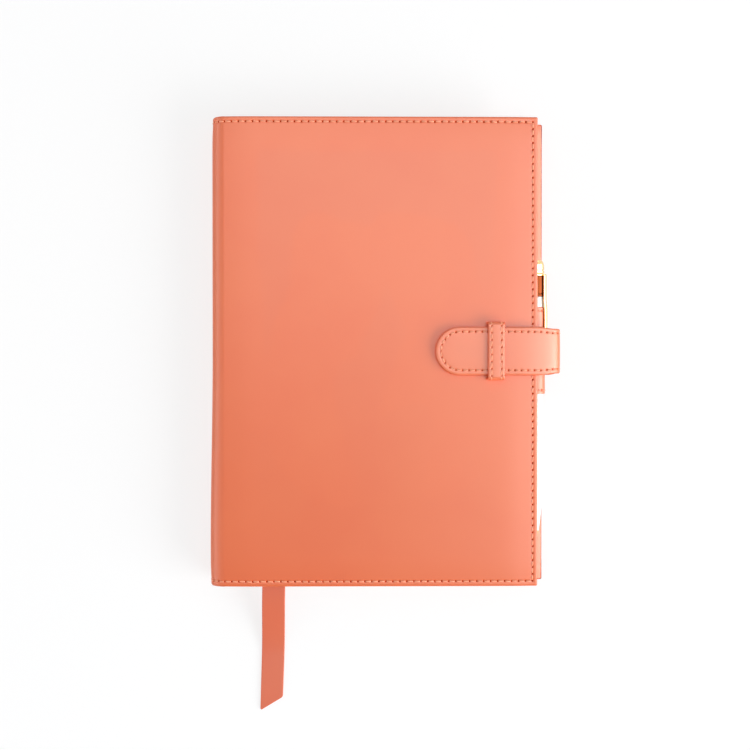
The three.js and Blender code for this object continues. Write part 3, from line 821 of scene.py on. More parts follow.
def strap_runs():
    """The strap's outer line in X and Z: root, low bend, straight, high bend and the flat run to the tip.
    The high bend is a quarter of a curve of the third degree, |x|^3 + |z|^3 = 1, so that the strap slopes
    before it turns."""
    high_z = STRAP_TOP - HIGH_R
    root = line_run((STRAP_LO[0], LEATHER_T), (BACK_X, LEATHER_T))
    low = circle_run(BACK_X, LOW_Z, LOW_R, 270, 360)
    rise = line_run((STRAP_OUT, LOW_Z), (STRAP_OUT, high_z))
    a = np.linspace(0, np.pi / 2, 900)
    high = np.stack([FLAT_X + (STRAP_OUT - FLAT_X) * np.cos(a) ** (2 / 3),
                     high_z + HIGH_R * np.sin(a) ** (2 / 3)], -1)
    flat = line_run((FLAT_X, STRAP_TOP), (TONGUE_LO[0], STRAP_TOP))
    return root, low, rise, high, flat


def strap_level(d):
    """Height of the strap's face at a distance in from its edge: a bead, a rounded rim and a padded
    middle."""
    padded = 0.12 * (1 - np.exp(-np.clip(d - STRAP_INSET, 0, None) / 2.5))
    return 0.05 * bell(d, 0.6, 1.15) - rounded(d, 0.75) + padded


def narrowed(base):
    """Share of the strap's width left at points of its line: it narrows a little where it goes round."""
    return 1 - 0.065 * smooth((base[:, 0] - 73) / 8) * smooth((base[:, 2] - 2) / 5)


class Strap:
    """The strap's line with its seam's pitch, cut between stitches into three lengths."""

    def __init__(self, pitch_wish):
        runs = strap_runs()
        low, rise, high, flat, total = np.cumsum([run_length(run)[-1] for run in runs])
        self.low, self.flat, self.total = low, flat, total
        self.straight_end = total - STRAP_HALF
        row_length = self.straight_end - low + TIP_ROW_R * np.pi / 2
        self.count = int(round(row_length / pitch_wish))
        self.pitch = row_length / self.count
        self.straight_holes = int((self.straight_end - low) / self.pitch)
        self.length, self.base, normal = path_frame(join_runs(*runs))
        self.normal = outward(self.base, normal, (HIGH_X - 3, LOW_Z + 3))
        turn = runs[3]
        over_edge = run_length(turn)[np.argmax(turn[:, 0] < HIGH_X + 1.1)]
        cuts = self.snap(rise + LOW_CUT_Z - LOW_Z), self.snap(high + over_edge)
        self.spans = {"lower": (0.0, cuts[0]), "middle": cuts, "upper": (cuts[1], total)}
        self.bends = self.bend_lines(np.array(cuts))

    def snap(self, s):
        """The nearest middle of a stitch, so that no stitch is cut in two."""
        return self.low + (round((s - self.low) / self.pitch - 0.5) + 0.5) * self.pitch

    def lay(self, s):
        """Points and normals at lengths s along the whole strap."""
        points, normals = along_path(s, self.length, self.base, self.normal)
        points[:, 1] = STRAP_SHIFT
        normals[s < self.low] = -UP
        normals[s > self.flat] = UP
        return points, normals

    def bend_lines(self, cuts):
        """For each length its two bodies and the line, on a slant, where it passes from one to the next."""
        spots, normals = self.lay(cuts)
        inner = spots - normals * STRAP_T
        foot = np.array([BACK_X, 0, LEATHER_T])
        steep, back = (np.array([math.sin(a), 0, math.cos(a)]) for a in np.radians([20, -40]))
        onward = np.array([-normals[1, 2], 0, normals[1, 0]])
        return {
            "lower": ("back_cover", "strap_a", foot, foot + steep * ((inner[0] - foot) @ steep)),
            "middle": ("strap_a", "strap_b", spots[0], spots[0] + back * ((inner[1] - spots[0]) @ back)),
            "upper": ("strap_b", "strap_tongue", spots[1], spots[1] + 3.0 * onward),
        }

    def lines(self, first, last, root):
        """The lines across one length: points, normals, widths, insets and lengths along the seam. At the
        tip the lines shorten as the half circle closes; root adds the part under the lining."""
        end = min(last, self.straight_end)
        k = np.arange(self.straight_holes + 1)[:, None]
        fine = (self.low + (k + STITCH_STEPS[None, :]) * self.pitch).ravel()
        s = np.concatenate([[first], fine[(fine > first + 0.02) & (fine < end - 0.02)], [end]])
        if root:
            s = np.concatenate([np.linspace(0, self.low, 6)[:-1], s[s >= self.low]])
        base, normal = self.lay(s)
        width = across_steps(STRAP_HALF, STRAP_STEPS, 12)[None, :] + 0 * s[:, None]
        d = STRAP_HALF - np.abs(width)
        along = s[:, None] - self.low + 0 * width
        if last == self.total:
            a = np.linspace(0, np.pi / 2, 90)[1:]
            x = TIP_CENTRE - STRAP_HALF * np.sin(a)
            tip = width[:1] * np.cos(a)[:, None]
            bearing = np.arctan2(TIP_CENTRE - x[:, None] + 0 * tip, np.abs(tip))
            inset = STRAP_HALF - np.hypot(tip, (x - TIP_CENTRE)[:, None])
            base = np.vstack([base, np.stack([x, 0 * x + STRAP_SHIFT, 0 * x + STRAP_TOP], -1)])
            normal = np.vstack([normal, np.tile(UP, (len(x), 1))])
            width = np.vstack([width, tip])
            d = np.vstack([d, np.clip(inset, 0, None)])
            along = np.vstack([along, self.straight_end - self.low + TIP_ROW_R * bearing])
        return base, normal, width * narrowed(base)[:, None], d, along

    def leather(self, name):
        """Loops of one length of the outer leather, and the darkness of its holes and cut edge: painted
        shade in the holes, and on the cut edge painted shade for the shadow at the strap's sides over a
        darker burnished edge.
        """
        first, last = self.spans[name]
        base, normal, width, d, along = self.lines(first, last, name == "lower")
        depth, dark = sewn(d - STRAP_INSET, along, self.pitch)
        depth, dark = 0.85 * depth, 0.7 * dark
        under = -STRAP_LEATHER_T + rounded(d, 0.25) * 0.6
        # painted shade along the cut edge: it stands for the shadow at the strap's sides, over a darker
        # burnished edge
        cut = 0.5 * bell(d, 0.14)
        shade = np.concatenate([np.maximum(dark, cut), cut[:, ::-1]], 1).ravel()
        return band_loops(base, normal, SPAN_Y, width, strap_level(d) - depth, under), shade

    def backing(self, name):
        """Loops of one length of the backing."""
        first, last = self.spans[name]
        base, normal, width, d, _ = self.lines(max(first, self.low), last, False)
        outer = -STRAP_LEATHER_T - 0.006 - rounded(d, 0.3) * 0.5
        return band_loops(base, normal, SPAN_Y, width, outer, -STRAP_T + 0.25 + rounded(d, 0.55))

    def stitches(self, name, radius):
        """Both rows of stitches of one length; those of the upper length go on round the tip."""
        first, last = self.spans[name]
        holes = self.low + np.arange(self.straight_holes + 1) * self.pitch
        base, normal = self.lay(holes)
        level = strap_level(np.array(STRAP_INSET))
        middle = (holes[:-1] + holes[1:]) / 2
        keep = (middle > first) & (middle < last)
        rows = []
        for y in (-TIP_ROW_R, TIP_ROW_R):
            spot = base + normal * level
            spot[:, 1] = y * narrowed(base) + STRAP_SHIFT
            rows.append(thread_parts(
                spot[:-1][keep], spot[1:][keep], normal[:-1][keep], normal[1:][keep], radius))
        if last == self.total:
            rest = np.arange(self.straight_holes, self.count + 1) * self.pitch
            rest = rest - (self.straight_end - self.low)
            turn = np.clip(rest, 0, None) / TIP_ROW_R
            x = TIP_CENTRE - TIP_ROW_R * np.sin(turn)
            x[0] = TIP_CENTRE - rest[0] if rest[0] < 0 else x[0]
            for sign in (-1, 1):
                y = sign * TIP_ROW_R * np.cos(turn) + STRAP_SHIFT
                spot = np.stack([x, y, 0 * x + STRAP_TOP + level], -1)
                rows.append(stitch_row(spot, np.tile(UP, (len(x), 1)), radius))
        return rows


def build_strap(sizes, leather, lining, thread):
    """The strap in three lengths, each with its leather, its backing and its two rows of
    stitches."""
    strap = Strap(sizes.strap_pitch / MM)
    radius = sizes.thread_radius / MM * 0.92
    nodes = {
        "lower": (("strap_root", "strap_leather_a"), ("strap_backing_a",), ()),
        "middle": (("strap_leather_b",), ("strap_backing_b",), ()),
        "upper": (("tongue_leather",), ("tongue_backing",), ("tongue_stitching",)),
    }
    for name, (skin, inner, _) in nodes.items():
        loop, shade = strap.leather(name)
        obj = piece(f"strap_leather_{name}", [band_part(loop)], leather, replaces=skin,
                    shade=shade, merge=False)
        bend(obj, *strap.bends[name])
        obj = piece(f"strap_backing_{name}", [band_part(strap.backing(name))], lining,
                    replaces=inner)
        bend(obj, *strap.bends[name])
    for name, (_, _, sewing) in nodes.items():
        rows = strap.stitches(name, radius)
        obj = thread_piece(f"strap_stitches_{name}", rows, thread, replaces=sewing)
        bend(obj, *strap.bends[name])


# Keeper

KEEPER_GROWTH = np.array([0.1, 0, 0]), np.array([-0.5, 0.8, 1.2])
KEEPER_CORNER = 1.9
KEEPER_T = 1.15
KEEPER_ENDS = 2.4
KEEPER_INSET = 1.6
KEEPER_STEPS = np.array([0, .05, .15, .3, .5, .75, 1.0, 1.2, 1.35, 1.47, 1.6, 1.73, 1.85, 2.0, 2.25, 2.6,
                         3.0])


def keeper_path(lo, hi):
    """The keeper's outer line in Y and Z: up one end, round, across, round and down the other end."""
    foot, shoulder = lo[2] - 0.05, hi[2] - KEEPER_CORNER
    left, right = lo[1] + KEEPER_CORNER, hi[1] - KEEPER_CORNER
    return join_runs(
        line_run((lo[1], foot), (lo[1], shoulder), 60),
        circle_run(left, shoulder, KEEPER_CORNER, 180, 90, 100),
        line_run((left, hi[2]), (right, hi[2]), 400),
        circle_run(right, shoulder, KEEPER_CORNER, 90, 0, 100),
        line_run((hi[1], shoulder), (hi[1], foot), 60))


def build_keeper(sizes, leather, thread):
    """The keeper: a band over the strap in a plane of constant X, rounded over at both ends, with two
    rows. It stands higher than its solid, over the padded strap, and is slimmer."""
    lo, hi = (corner + growth for corner, growth in zip(node_box("keeper_loop"), KEEPER_GROWTH))
    middle = (lo[0] + hi[0]) / 2 - 0.6
    half = (hi[0] - lo[0]) / 2
    length, line, normal = path_frame(keeper_path(lo, hi), "yz")
    normal = outward(line, normal, (0, lo[2] - 6))
    total = length[-1]
    count = int(round((total - 2 * KEEPER_ENDS) / KEEPER_PITCH))
    pitch = (total - 2 * KEEPER_ENDS) / count
    plain = np.linspace(0, KEEPER_ENDS, 8)[:-1]
    s = np.concatenate([plain, KEEPER_ENDS + seam_params(count) * count * pitch, total - plain[::-1]])
    base, up = along_path(s, length, line, normal)
    base[:, 0] = middle
    width = across_steps(half, KEEPER_STEPS, 8)[None, :] + 0 * s[:, None]
    d = half - np.abs(width)
    # the band is a little wider where it turns down, as pinched leather is
    flare = 1 + 0.10 * bell(s, 3.2) + 0.10 * bell(total - s, 3.2)
    depth, dark = sewn(d - KEEPER_INSET, s[:, None] - KEEPER_ENDS + 0 * width, pitch)
    in_row = ((s > KEEPER_ENDS - 0.6) & (s < total - KEEPER_ENDS + 0.6))[:, None]
    outer = 0.04 * bell(d, 0.5, 1.0) - rounded(d, 0.6) - np.where(in_row, 0.6 * depth, 0)
    outer = outer + 0.10 * (1 - np.exp(-np.clip(d - KEEPER_INSET, 0, None) / 1.2)) - 0.16
    under = -KEEPER_T + rounded(d, 0.35)
    # painted shade along the cut edges: it stands for the shadow beside the keeper, over a darker burnished
    # edge; the rows' pits get painted shade too
    cut = 0.55 * bell(d, 0.14)
    shade = np.concatenate([np.maximum(np.where(in_row, 0.5 * dark, 0), cut), cut[:, ::-1]], 1).ravel()
    loop = band_loops(base, up, SPAN_X, width * flare[:, None], outer, under)
    piece("keeper_band", [band_part(loop)], leather, "front_cover", ["keeper_loop"],
          shade=shade, merge=False)
    for i, sign in enumerate((-1, 1)):
        spot, up = along_path(KEEPER_ENDS + np.arange(count + 1) * pitch, length, line, normal)
        spot[:, 0] = middle + sign * (half - KEEPER_INSET)
        rows = [stitch_row(spot - up * 0.14, up, sizes.thread_radius / MM * 0.95)]
        thread_piece(f"keeper_stitches_{i + 1}", rows, thread, "front_cover",
                     [f"keeper_stitching_{i + 1}"])


# Turned pieces of the pen

PEN_LO, PEN_HI = node_box("pen_knob")
PEN_X = (PEN_LO[0] + PEN_HI[0]) / 2
PEN_Z = (PEN_LO[2] + PEN_HI[2]) / 2
PEN_BORE = 2.1
CLIP_ROLL = math.radians(30)
CLIP_OUT = 5.2
CLIP_HALF_W, CLIP_HALF_T = 1.3, 0.55
CLIP_RING_R, CLIP_RING_T = 4.45, 0.8


def turned(profile, segments=72):
    """A closed profile of (radius, y) points carried round the pen's axis; points on the axis close the
    ends."""
    profile = np.asarray(profile, float)
    a = np.arange(segments) / segments * 2 * np.pi
    points = np.empty((len(profile), segments, 3))
    points[..., 0] = PEN_X + profile[:, :1] * np.cos(a)[None, :]
    points[..., 1] = profile[:, 1:]
    points[..., 2] = PEN_Z + profile[:, :1] * np.sin(a)[None, :]
    faces = quads(len(profile), segments, wrap=True)
    if profile[0, 0] > 1e-6 or profile[-1, 0] > 1e-6:
        faces = np.vstack([faces, closing_quads(len(profile), segments)])
    return closed_part(points.reshape(-1, 3), faces)


def round_over(a, b, c, radius, steps=5):
    """Points that round the corner b between a and c: a quadratic curve between points set back by the
    radius."""
    a, b, c = (np.asarray(p, float) for p in (a, b, c))
    p, q = (b + (far - b) / np.linalg.norm(far - b) * min(radius, np.linalg.norm(far - b) * 0.49)
            for far in (a, c))
    t = np.linspace(0, 1, steps)[:, None]
    return (1 - t) ** 2 * p + 2 * t * (1 - t) * b + t ** 2 * q


def smooth_profile(points, radii):
    """A profile with each inner corner rounded by its own radius."""
    out = [[points[0]]]
    for i in range(1, len(points) - 1):
        out.append(round_over(*points[i - 1:i + 2], radii[i]) if radii[i] > 0 else [points[i]])
    return np.vstack(out + [[points[-1]]])


def pen_node(name):
    """A pen piece's lowest and highest place along Y, and its radius."""
    lo, hi = node_box(name)
    return lo[1], hi[1], (hi[0] - lo[0]) / 2


def squared(count):
    """Points on a square with well rounded corners, once round: powers of the cosine and the sine."""
    a = np.arange(count) / count * 2 * np.pi
    return [np.sign(v) * np.abs(v) ** 0.45 for v in (np.cos(a), np.sin(a))]


def rolled_bar(x, y, z):
    """A capped bar from its rings, turned about the pen's own line, upwards from the right."""
    x, y, z = np.broadcast_arrays(x, y, z)
    right, up = x - PEN_X, z - PEN_Z
    cos, sin = math.cos(CLIP_ROLL), math.sin(CLIP_ROLL)
    points = np.stack([PEN_X + right * cos - up * sin, y, PEN_Z + right * sin + up * cos], -1)
    return closed_part(points.reshape(-1, 3), quads(*x.shape, wrap=True), end_caps(*x.shape))


def build_clip(gold):
    """The clip: a bar of rounded section carried along Y and a ring round the pen, joined by a short
    bridge. The bar springs out a little to pass over the loop's leather."""
    low, ring_y, _ = pen_node("pen_clip")
    across, over = squared(16)
    y = np.concatenate([low + np.array([0, .1, .3, .7, 1.2]), np.linspace(low + 2, ring_y - 1.5, 24),
                        ring_y - np.array([0.8, 0.35, 0.1, 0.0])])
    end = np.sqrt(np.clip(1 - (1 - np.clip((y - low) / 1.2, 0, 1)) ** 2, 0.002, 1))
    top = np.sqrt(np.clip(1 - (1 - np.clip((ring_y - y) / 0.4, 0, 1)) ** 2, 0.3, 1))
    size = end * top
    taper = 0.86 + 0.14 * np.clip((y - low) / 30, 0, 1)
    out = PEN_X + CLIP_OUT + 0.45 * smooth((27 - y) / 8)
    bar = rolled_bar(out[:, None] + CLIP_HALF_T * size[:, None] * across, y[:, None],
                     PEN_Z + CLIP_HALF_W * (size * taper)[:, None] * over)
    low_y = ring_y - CLIP_RING_T
    ring = turned(smooth_profile(
        [(PEN_BORE, low_y), (CLIP_RING_R, low_y), (CLIP_RING_R, ring_y), (PEN_BORE, ring_y)],
        [0, .15, .15, 0]))
    x = np.linspace(PEN_X + 3.2, out[-1] + 0.2, 8)
    bridge = rolled_bar(x[:, None], ring_y - 0.42 + 0.38 * across, PEN_Z + 1.2 * over)
    piece("pen_clip_bar", [bar, ring, bridge], gold, "pen", ["pen_clip"], sharp=50)


def build_pen(gold, dark_gold, lacquer):
    """Knob, band, clip, barrel and tip of the twist pen, each turned from its profile but the clip."""
    y0, y1, r = pen_node("pen_knob")
    profile = smooth_profile(
        [(0, y0), (r - 0.35, y0), (r - 0.02, y0 + 0.25), (r, y0 + 1.2), (r - 0.28, y0 + 1.5),
         (r - 0.28, y0 + 1.75), (r, y0 + 2.0), (r - 0.12, y1 - 2.2), (r - 0.75, y1 - 0.55),
         (r - 1.9, y1), (0, y1)],
        [0, .12, .15, .1, .06, .06, .1, .9, .9, .7, 0])
    piece("pen_knob_cap", [turned(profile)], gold, "pen_knob", ["pen_knob"], sharp=50)

    y0, y1, r = pen_node("pen_band")
    profile = smooth_profile(
        [(PEN_BORE, y0), (r - 0.2, y0), (r, y0 + 0.3), (r, y0 + 1.1), (r - 0.22, y0 + 1.25),
         (r - 0.22, y0 + 1.5), (r, y0 + 1.65), (r, y1 - 0.3), (r - 0.2, y1), (PEN_BORE, y1)],
        [0, .1, .15, .06, .05, .05, .06, .15, .1, 0])
    # the band's very dark gold is a painted reflection of the dark surroundings
    piece("pen_band_ring", [turned(profile)], dark_gold, "pen", ["pen_band"], sharp=50)

    y0, y1, r = pen_node("pen_barrel")
    taper, slim = 22, 3.75
    taper_y = y0 + taper * np.linspace(0, 1, 26)
    taper_r = np.interp(taper_y - y0, [0, 6, 13, taper], [2.0, 2.8, 3.45, slim])
    taper_r = np.convolve(np.pad(taper_r, 3, mode="reflect", reflect_type="odd"), np.ones(7) / 7, "valid")
    body_y = np.linspace(y0 + 24, y1 - 0.3, 24)
    body_r = slim + (r - slim) * (body_y - y0 - taper) / (y1 - y0 - taper)
    profile = np.vstack([
        [(1.3, y0)], np.stack([taper_r, taper_y], -1), np.stack([body_r, body_y], -1),
        [(r - 0.12, y1), (PEN_BORE, y1), (PEN_BORE, y0 + 8)]])
    piece("pen_barrel_lacquer", [turned(profile)], lacquer, "pen", ["pen_barrel"], sharp=50)

    y0, y1, r = pen_node("pen_tip")
    profile = smooth_profile(
        [(0.8, y0), (1.0, y0), (1.12, y0 + 0.6), (1.62, y1 - 2.0), (1.55, y1 - 1.8), (1.75, y1 - 1.5),
         (r, y1), (1.3, y1)],
        [0, .08, .2, .1, .05, .1, 0, 0])
    piece("pen_tip_cone", [turned(profile)], gold, "pen", ["pen_tip"], sharp=50)
    build_clip(gold)


LOOP_OUT, LOOP_BORE = 5.0, 4.42
LOOP_SHIFT = 0.7
LOOP_INSET = 1.8
LOOP_STITCHES = 10
LOOP_STEPS = np.array([0, .05, .15, .3, .5, .8, 1.1, 1.35, 1.55, 1.7, 1.8, 1.9, 2.05, 2.25, 2.5, 2.9, 3.6])


def build_pen_loop(sizes, leather, thread):
    """The pen loop: a tube of leather round the pen with a sewn row near each end, on a flat foot."""
    lo, hi = node_box("pen_loop")
    y0, y1 = lo[1] + LOOP_SHIFT, hi[1] + LOOP_SHIFT
    angle = (np.arange(LOOP_STITCHES)[:, None] + STITCH_STEPS[None, :]).ravel() / LOOP_STITCHES * 2 * np.pi
    bearing = (angle - np.pi / 2)[None, :]
    inner = np.linspace(y0 + LOOP_STEPS[-1], y1 - LOOP_STEPS[-1], 24)[1:-1]
    along = np.concatenate([y0 + LOOP_STEPS, inner, (y1 - LOOP_STEPS)[::-1]])
    dy = np.minimum(along - y0, y1 - along)[:, None] + 0 * bearing
    pitch = 2 * np.pi * LOOP_OUT / LOOP_STITCHES
    depth, dark = sewn(dy - LOOP_INSET, angle[None, :] * LOOP_OUT + 0 * dy, pitch)
    out = LOOP_OUT - rounded(dy, 0.35) + 0.02 * bell(dy, 0.5, 0.9) - 0.06 - 0.72 * depth
    radius = np.concatenate([out, (LOOP_BORE + rounded(dy, 0.2))[::-1]], 0)
    loop = np.empty((*radius.shape, 3))
    loop[..., 0] = PEN_X + radius * np.cos(bearing)
    loop[..., 1] = np.concatenate([along, along[::-1]])[:, None]
    loop[..., 2] = PEN_Z + radius * np.sin(bearing)
    foot = sheet_part((lo[0], POCKET_HI[0] - 0.2), (y0, y1), (STACK_Z + 0.01, STACK_Z + 0.68), 0.3)
    shade = np.concatenate([dark.ravel(), 0 * dark.ravel(), np.zeros(len(foot[0]))])
    piece("pen_loop_band", [band_part(loop, close=True), foot], leather, "back_cover",
          ["pen_loop"], shade=shade, merge=False)
    a = np.arange(LOOP_STITCHES + 1) / LOOP_STITCHES * 2 * np.pi - np.pi / 2
    normal = np.stack([np.cos(a), 0 * a, np.sin(a)], -1)
    for i, y in enumerate((y1 - LOOP_INSET, y0 + LOOP_INSET)):
        spot = np.array([PEN_X, y, PEN_Z]) + normal * (LOOP_OUT - 0.08)
        rows = [stitch_row(spot, normal, sizes.thread_radius / MM * 0.8, rise=COVER_RISE, sink=0.26)]
        thread_piece(f"pen_loop_stitches_{i + 1}", rows, thread, "back_cover",
                     [f"pen_loop_stitching_{i + 1}"])


# Bookmark

DROOP_RUN = 36
SLANT = 6.7
SLANT_RUN = 26


def build_bookmark(leather):
    """The bookmark: one strip in two lengths. It lies between the leaves, droops from the tail edge along
    a smooth curve, lies on the table and ends in a slanted cut with rounded corners."""
    lo, hi = RIBBON_LO, RIBBON_HI
    tail_lo = node_box("bookmark_tail")[0]
    thick, half = hi[2] - lo[2], (hi[0] - lo[0]) / 2
    centre, top, hinge = (lo[0] + hi[0]) / 2, hi[2], lo[1]
    split = -PAGE_HALF + 2
    end = tail_lo[1] - 0.9
    drift = (tail_lo[0] - lo[0]) / (end - hinge)

    def make(name, y, node, slanted):
        """One length of the strip between two places along Y."""
        z = top + (thick - top) * smooth((hinge - y) / DROOP_RUN)
        base = np.stack([centre + drift * np.clip(y - hinge, None, 0), y, z], -1)
        step = np.gradient(base[:, 1:], axis=0)
        step /= np.linalg.norm(step, axis=1, keepdims=True)
        normal = np.stack([0 * y, step[:, 1], -step[:, 0]], -1)
        normal *= np.sign(normal[:, 2:] + 1e-9)
        steps = np.array([0, .04, .12, .28, .5, .9, 1.5])
        width = across_steps(half, steps, 12)[None, :] + 0 * y[:, None]
        d = half - np.abs(width)
        if slanted:
            # the corners of the end are rounded
            tip = np.clip((y - end) / 1.3, 0, 1)
            width = width * (1 - 0.16 * (1 - np.sqrt(np.clip(1 - (1 - tip) ** 2, 0, 1))))[:, None]
            d = np.minimum(d, (y - end)[:, None] + 0.02)
        outer = -rounded(d, 0.28) + 0.03 * (1 - np.exp(-d / 1.5))
        loop = band_loops(base, normal, SPAN_X, width, outer, -thick + rounded(d, 0.28))
        if slanted:
            # the slant grows over the last stretch: the right edge stops short of the left
            grow = np.clip((end + SLANT_RUN - loop[..., 1]) / SLANT_RUN, 0, 1) ** 1.5
            share = (loop[..., 0] - (centre - half + drift * (end - hinge))) / (2 * half)
            loop[..., 1] += SLANT * grow * np.clip(share, 0, 1)
        return piece(name, [band_part(loop)], leather, replaces=[node], sharp=60)

    inside = np.concatenate([np.linspace(split, hi[1] - 1, 30), hi[1] - np.array([.5, .2, 0])])
    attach(make("bookmark_inner", inside, "bookmark_ribbon", False), "back_cover")
    outside = np.concatenate([
        end + np.array([0, .04, .12, .28, .5, .8, 1.3]), np.linspace(end + 2, split, 70)])
    bend(make("bookmark_outer", outside, "bookmark_tail", True), "back_cover", "bookmark_tail",
         (centre, hinge + 3, top), (centre, hinge - 5, top))


# Finishes

class Nodes:
    """The shader nodes of a material or a world. An input takes a number, a colour or another node's
    output."""

    def __init__(self, owner, last):
        owner.use_nodes = True
        self.tree = owner.node_tree
        self.last = self.tree.nodes[last]

    def fill(self, node, inputs):
        """Fills inputs of a node, named or numbered."""
        for key, value in inputs.items():
            socket = node.inputs[key]
            if isinstance(value, bpy.types.NodeSocket):
                self.tree.links.new(value, socket)
            elif socket.type == "RGBA":
                socket.default_value = (*value, 1)
            else:
                socket.default_value = value
        return node

    def add(self, kind, inputs, **settings):
        """A new node with its settings made and its inputs filled."""
        node = self.tree.nodes.new("ShaderNode" + kind)
        for key, value in settings.items():
            setattr(node, key, value)
        return self.fill(node, inputs)

    def place(self):
        """Object coordinates, in metres."""
        return self.add("TexCoord", {}).outputs["Object"]

    def noise(self, place, scale, detail=3.0, rough=0.55):
        """A noise of a given scale per metre."""
        inputs = {"Vector": place, "Scale": scale, "Detail": detail, "Roughness": rough}
        return self.add("TexNoise", inputs).outputs["Fac"]

    def spread(self, value, low, high, to_low, to_high):
        """A value carried from one range to another."""
        inputs = {"Value": value, "From Min": low, "From Max": high, "To Min": to_low, "To Max": to_high}
        return self.add("MapRange", inputs).outputs["Result"]

    def tint(self, factor, first, second):
        """A mix of two colours."""
        return self.add("Mix", {0: factor, 6: first, 7: second}, data_type="RGBA").outputs[2]

    def sum(self, operation, *values):
        """One step of arithmetic."""
        return self.add("Math", dict(enumerate(values)), operation=operation).outputs[0]

    def ripple(self, value, pitch):
        """A wave between 0 and 1, once for every pitch of a value."""
        wave = self.sum("SINE", self.sum("MULTIPLY", value, 2 * math.pi / pitch))
        return self.spread(wave, -1, 1, 0, 1)

    def bump(self, height, strength, distance, below=None):
        """A bump of a given height, laid on another if one is given."""
        inputs = {"Height": height, "Strength": strength, "Distance": distance}
        if below is not None:
            inputs["Normal"] = below
        return self.add("Bump", inputs).outputs["Normal"]

    def seen(self):
        """1 for rays that come straight from the camera, off a gloss or through glass, else 0."""
        rays = self.add("LightPath", {}).outputs
        pair = self.sum("MAXIMUM", rays["Is Camera Ray"], rays["Is Glossy Ray"])
        return self.sum("MAXIMUM", pair, rays["Is Transmission Ray"])


def new_finish(name, colour, roughness, **more):
    """A material with one Principled shader, and its nodes."""
    material = bpy.data.materials.new(name)
    material.diffuse_color = (*colour, 1)
    nodes = Nodes(material, "Principled BSDF")
    nodes.fill(nodes.last, {"Base Color": colour, "Roughness": roughness})
    nodes.fill(nodes.last, {key.replace("_", " "): value for key, value in more.items()})
    return material, nodes


def scaled(colour, *factors):
    """A colour made lighter or darker by one factor, or by one for each channel."""
    return tuple(np.minimum(1.0, np.array(colour) * factors).tolist())


def leather_finish(name, colour, roughness, grain, suede=0.0):
    """Smooth leather: cells of fine grain with pores and slow changes of tone. Where the shade attribute
    is set the colour darkens: painted shade in the seam holes, and on the cut edges painted shade over a
    darker burnished edge. The holes have no gloss, because the awl has opened the leather there."""
    material, nodes = new_finish(name, colour, roughness, Specular_IOR_Level=0.56)
    place = nodes.place()
    slow = nodes.spread(nodes.noise(place, 22, 2.0), 0.35, 0.65, 0, 1)
    base = nodes.tint(slow, scaled(colour, 0.985, 0.95, 0.93), scaled(colour, 1, 1.04, 1.06))
    cells = nodes.add("TexVoronoi", {"Vector": place, "Scale": grain, "Smoothness": 0.6},
                      feature="SMOOTH_F1").outputs["Distance"]
    pores = nodes.noise(place, grain * 2.7, 4.0)
    base = nodes.tint(nodes.spread(pores, 0.30, 0.42, 0.9, 1.0), scaled(colour, 0.88), base)
    # the shade attribute carries painted shade: marked places darken towards the colour given below
    mark = nodes.add("Attribute", {}, attribute_name="shade").outputs["Fac"]
    gloss = nodes.spread(pores, 0.3, 0.7, roughness - 0.04, roughness + 0.06)
    low = nodes.bump(cells, 0.10 + suede, 0.00012)
    nodes.fill(nodes.last, {
        "Base Color": nodes.tint(mark, base, scaled(colour, 0.80, 0.36, 0.22)),
        "Roughness": nodes.add("Mix", {0: mark, 2: gloss, 3: 1.0}).outputs[0],
        "Specular IOR Level": nodes.spread(mark, 0, 0.8, 0.56, 0.0),
        "Normal": nodes.bump(pores, 0.08 + suede, 0.00006, low)})
    return material


def thread_finish(colour):
    """Waxed thread: two plies twisted along its length, a little lighter where they stand up: painted
    shade in the grooves between the plies.
    """
    material, nodes = new_finish("waxed_thread", colour, 0.42)
    uv = nodes.add("UVMap", {}, uv_map="UVMap").outputs["UV"]
    round_it, along = nodes.add("SeparateXYZ", {0: uv}).outputs[:2]
    ply = nodes.ripple(nodes.sum("MULTIPLY_ADD", round_it, 1.1, along), 0.5)
    fibre = nodes.spread(nodes.noise(nodes.place(), 9000, 2.0), 0.3, 0.7, 0, 0.25)
    # painted shade: the colour darkens in the grooves between the plies, following the bump
    tone = nodes.tint(ply, scaled(colour, 0.90), colour)
    nodes.fill(nodes.last, {
        "Base Color": nodes.tint(fibre, tone, scaled(colour, 1.12)),
        "Normal": nodes.bump(ply, 0.5, 0.00012)})
    return material


def paper_finish(colour):
    """Uncoated paper: faint fibres, and fine leaf lines that follow the stack's height: painted shade
    in the gaps between the leaves.
    """
    material, nodes = new_finish("uncoated_paper", colour, 0.85)
    place = nodes.place()
    height = nodes.add("SeparateXYZ", {0: place}).outputs[2]
    wobbly = nodes.sum("MULTIPLY_ADD", nodes.noise(place, 60, 2.0), 0.00008, height)
    # painted shade: thin dark lines where the gaps between the leaves would lie in shade
    leaf = nodes.spread(nodes.ripple(wobbly, 0.00011), 0, 0.35, 0.72, 1.0)
    fibre = nodes.noise(place, 1500, 5.0)
    tone = nodes.tint(leaf, scaled(colour, 0.8), colour)
    nodes.fill(nodes.last, {
        "Base Color": nodes.tint(nodes.spread(fibre, 0.35, 0.65, 0, 0.5), tone, scaled(colour, 1.05)),
        "Normal": nodes.bump(fibre, 0.15, 0.00005)})
    return material


def board_finish(name, colour):
    """Grey board or card: pressed fibres and small flecks."""
    material, nodes = new_finish(name, colour, 0.9)
    place = nodes.place()
    fibre = nodes.noise(place, 420, 6.0, 0.65)
    fleck = nodes.spread(nodes.noise(place, 2600, 2.0), 0.66, 0.72, 0, 0.6)
    tone = nodes.tint(nodes.spread(fibre, 0.35, 0.65, 0, 1), scaled(colour, 0.86), scaled(colour, 1.06))
    nodes.fill(nodes.last, {
        "Base Color": nodes.tint(fleck, tone, scaled(colour, 0.55)),
        "Normal": nodes.bump(fibre, 0.2, 0.0001)})
    return material


